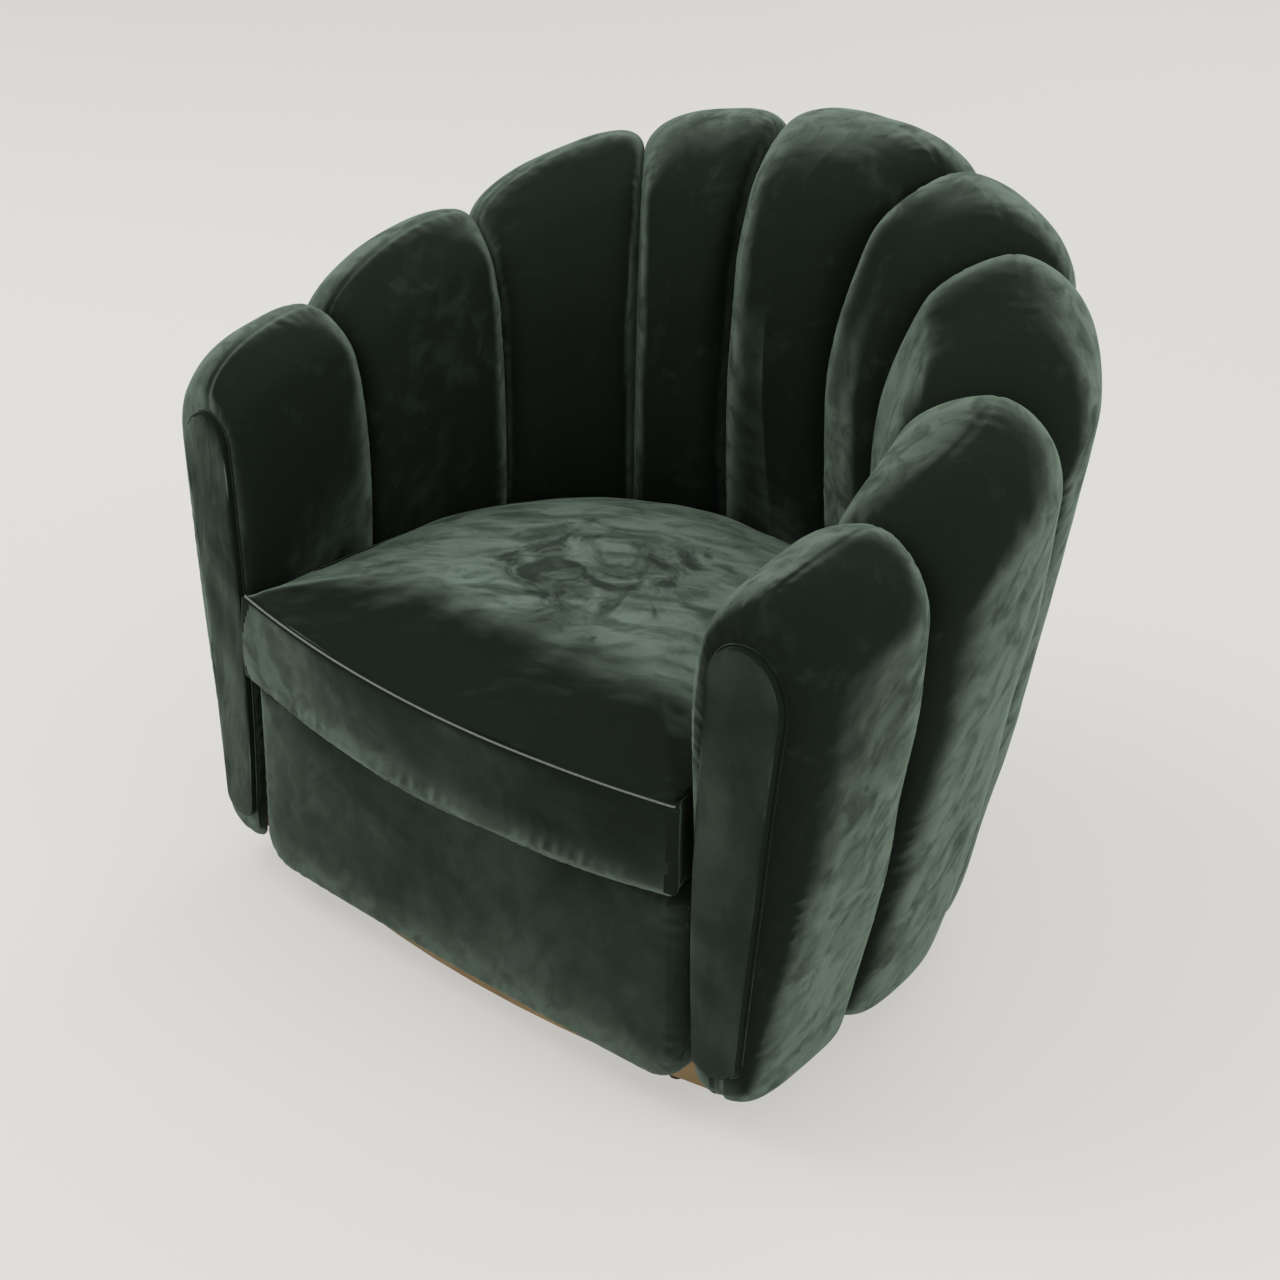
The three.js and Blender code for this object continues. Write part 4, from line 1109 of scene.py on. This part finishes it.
def add_front_panel():
    front, back = panel_points()
    columns, rows = front.shape[:2]
    points = np.concatenate([front, back[:, ::-1]], axis=1)
    piece = make_piece(
        "front_panel_pad", points, ring_faces(columns, 2 * rows), velvet_front,
        sharp_angle=math.radians(75),
    )
    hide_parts("front_panel", "front_panel_board")


# Cloths under the cushion and under the chair

def plan_outline(node):
    """The outline in plan of a flat CAD node, as points round its middle."""
    mesh = frame["nodes"][node].data
    places = np.array([vertex.co[:2] for vertex in mesh.vertices])
    middle = np.array([0.0, lerp(places[:, 1].min(), places[:, 1].max(), 0.45)])
    turns = np.arctan2(places[:, 1] - middle[1], places[:, 0] - middle[0])
    order = np.argsort(turns)
    places = places[order]
    keep = [0]
    for i in range(1, len(places)):
        if np.linalg.norm(places[i] - places[keep[-1]]) > 1e-4:
            keep.append(i)
    return places[keep], middle


def add_cloth(node, name, material):
    """A stretched cloth, thin and closed, with slight waves."""
    low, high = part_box(node)
    outline, middle = plan_outline(node)
    shares = np.sin(np.linspace(0, math.pi / 2, 24))[1:]
    flat = middle + (outline - middle) * shares[:, None, None]
    waves = 0.0006 * ripple(flat, 0.05, 81) * (1 - shares**6)[:, None]
    sheet = np.concatenate([flat, waves[..., None]], axis=-1)
    upper = sheet.copy()
    upper[..., 2] += high.z
    lower = sheet.copy()
    lower[..., 2] += low.z
    count = len(outline)
    points = np.concatenate([lower[::-1].reshape(-1, 3), upper.reshape(-1, 3)])
    points = np.concatenate([
        points,
        [[middle[0], middle[1], low.z], [middle[0], middle[1], high.z]],
    ])
    # Lower rings run from the rim to the middle, upper rings from the middle to the rim
    rings_each = len(shares)
    faces = []
    for i in range(rings_each - 1):
        for j in range(count):
            k = (j + 1) % count
            faces.append((i * count + j, i * count + k, (i + 1) * count + k, (i + 1) * count + j))
            a = (rings_each + i) * count
            faces.append((a + j, a + k, a + count + k, a + count + j))
    first_upper = rings_each * count
    rim_upper = (2 * rings_each - 1) * count
    last_lower = (rings_each - 1) * count
    low_middle = 2 * rings_each * count
    for j in range(count):
        k = (j + 1) % count
        faces.append((j, rim_upper + j, rim_upper + k, k))
        faces.append((last_lower + j, last_lower + k, low_middle))
        faces.append((first_upper + j, first_upper + k, low_middle + 1))
    piece = make_piece(name, points, faces, material)
    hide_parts(node)


def add_cloths():
    deck = plain_cloth_material("deck_cloth", (0.03, 0.036, 0.031), 900.0)
    dust = plain_cloth_material("dust_cloth", (0.016, 0.016, 0.017), 1400.0)
    add_cloth("seat_deck", "seat_deck_cloth", deck)
    add_cloth("dust_cover", "dust_cover_cloth", dust)


# Finishes of the CAD pieces that stay

def dress_frame():
    timber = wood_material("frame_timber", (0.50, 0.33, 0.17), (0.34, 0.20, 0.09))
    plywood = wood_material("plywood", (0.58, 0.43, 0.25), (0.44, 0.30, 0.15), (9, 9, 1))
    steel = metal_material("spring_steel", (0.42, 0.42, 0.43), 0.35, (40, 40, 40))
    bronze = metal_material("plinth_metal", (0.40, 0.285, 0.15), 0.42)
    finishes = {
        "frame_timber": timber,
        "plywood": plywood,
        "spring_steel": steel,
        "plinth_metal": bronze,
        "glide_nylon": nylon_material(),
    }
    for entry in frame["record"]["subparts"]:
        finish = finishes.get(entry["material_slot"])
        if finish is None:
            continue
        mesh = frame["nodes"][entry["node"]]
        for material_slot in mesh.material_slots:
            material_slot.material = finish


# Floor, light and camera

FLOOR_GLOW = 0.65  # how far the floor's own tone takes over from the light that falls on it
FLOOR_HALF = 14.0


def seen_rays(tree):
    """Whether a ray comes from the camera, or from it by a reflection or through glass."""
    path = tree.nodes.new("ShaderNodeLightPath")
    seen = path.outputs["Is Camera Ray"]
    for ray in ("Is Glossy Ray", "Is Transmission Ray"):
        either = tree.nodes.new("ShaderNodeMath")
        either.operation = "MAXIMUM"
        tree.links.new(seen, either.inputs[0])
        tree.links.new(path.outputs[ray], either.inputs[1])
        seen = either.outputs[0]
    return seen


def studio_material():
    """A pale floor that keeps the chair's shadow, but lighter where it is seen."""
    n = Nodes("studio_floor")
    cloud = n.noise(n.place((1, 1, 1)), 0.5, 2.0)
    n.link(n.mix(cloud, (0.70, 0.69, 0.672), (0.74, 0.732, 0.715)), n.shader.inputs["Base Color"])
    n.shader.inputs["Roughness"].default_value = 0.9
    n.shader.inputs["Specular IOR Level"].default_value = 0.0
    glow = n.add("ShaderNodeEmission")
    # Painted light falloff: the floor's seen tone is lighter near the front and darker further back.
    fall = n.ramp(n.along_axis("Y"), -0.6, 2.6)
    n.link(n.mix(fall, (0.745, 0.73, 0.707), (0.632, 0.62, 0.6)), glow.inputs["Color"])
    blend = n.add("ShaderNodeMixShader")
    n.link(n.math("MULTIPLY", seen_rays(n.tree), FLOOR_GLOW), blend.inputs[0])
    n.link(n.shader.outputs[0], blend.inputs[1])
    n.link(glow.outputs[0], blend.inputs[2])
    n.link(blend.outputs[0], n.tree.nodes["Material Output"].inputs["Surface"])
    return n.material


def add_studio():
    mesh = bpy.data.meshes.new("studio_floor")
    corners = [(FLOOR_HALF * x, FLOOR_HALF * y, 0) for x, y in ((-1, -1), (1, -1), (1, 1), (-1, 1))]
    mesh.from_pydata(corners, [], [(0, 1, 2, 3)])
    mesh.materials.append(studio_material())
    floor = bpy.data.objects.new("studio_floor", mesh)
    bpy.context.scene.collection.objects.link(floor)

    world = bpy.data.worlds.new("studio")
    bpy.context.scene.world = world
    world.use_nodes = True
    nodes = world.node_tree.nodes
    links = world.node_tree.links
    light = nodes["Background"]
    light.inputs["Color"].default_value = (1.0, 0.995, 0.985, 1)
    light.inputs["Strength"].default_value = 0.75
    seen = nodes.new("ShaderNodeBackground")
    seen.inputs["Color"].default_value = (0.638, 0.629, 0.609, 1)
    seen.inputs["Strength"].default_value = 1.0
    mix = nodes.new("ShaderNodeMixShader")
    links.new(seen_rays(world.node_tree), mix.inputs[0])
    links.new(light.outputs[0], mix.inputs[1])
    links.new(seen.outputs[0], mix.inputs[2])
    links.new(mix.outputs[0], nodes["World Output"].inputs["Surface"])


def add_lamp(name, place, target, size, power):
    data = bpy.data.lights.new(name, "AREA")
    data.shape = "DISK"
    data.size = size
    data.energy = power
    lamp = bpy.data.objects.new(name, data)
    lamp.location = place
    lamp.rotation_euler = (Vector(target) - Vector(place)).to_track_quat("-Z", "Y").to_euler()
    bpy.context.scene.collection.objects.link(lamp)


def add_lamps():
    middle = (0, 0, 0.4)
    add_lamp("key", (-2.2, -1.4, 4.4), middle, 3.0, 70)
    add_lamp("side", (3.8, 0.6, 2.2), middle, 2.4, 40)
    add_lamp("rim", (-0.8, 3.6, 2.8), middle, 2.4, 40)


def add_camera():
    data = bpy.data.cameras.new("camera")
    data.lens = CAMERA_LENS
    data.sensor_width = 36
    camera = bpy.data.objects.new("camera", data)
    back = Vector((
        math.sin(CAMERA_AZIMUTH) * math.cos(CAMERA_ELEVATION),
        -math.cos(CAMERA_AZIMUTH) * math.cos(CAMERA_ELEVATION),
        math.sin(CAMERA_ELEVATION),
    ))
    camera.location = CAMERA_TARGET + back * CAMERA_DISTANCE
    roll = Quaternion((0, 0, 1), CAMERA_ROLL)
    camera.rotation_euler = (back.to_track_quat("Z", "Y") @ roll).to_euler()
    bpy.context.scene.collection.objects.link(camera)
    bpy.context.scene.camera = camera


add_camera()
add_channels()
add_facing("left")
add_facing("right")
add_cushion()
add_front_panel()
add_cloths()
dress_frame()
add_studio()
add_lamps()
bpy.context.scene.view_settings.view_transform = "Standard"
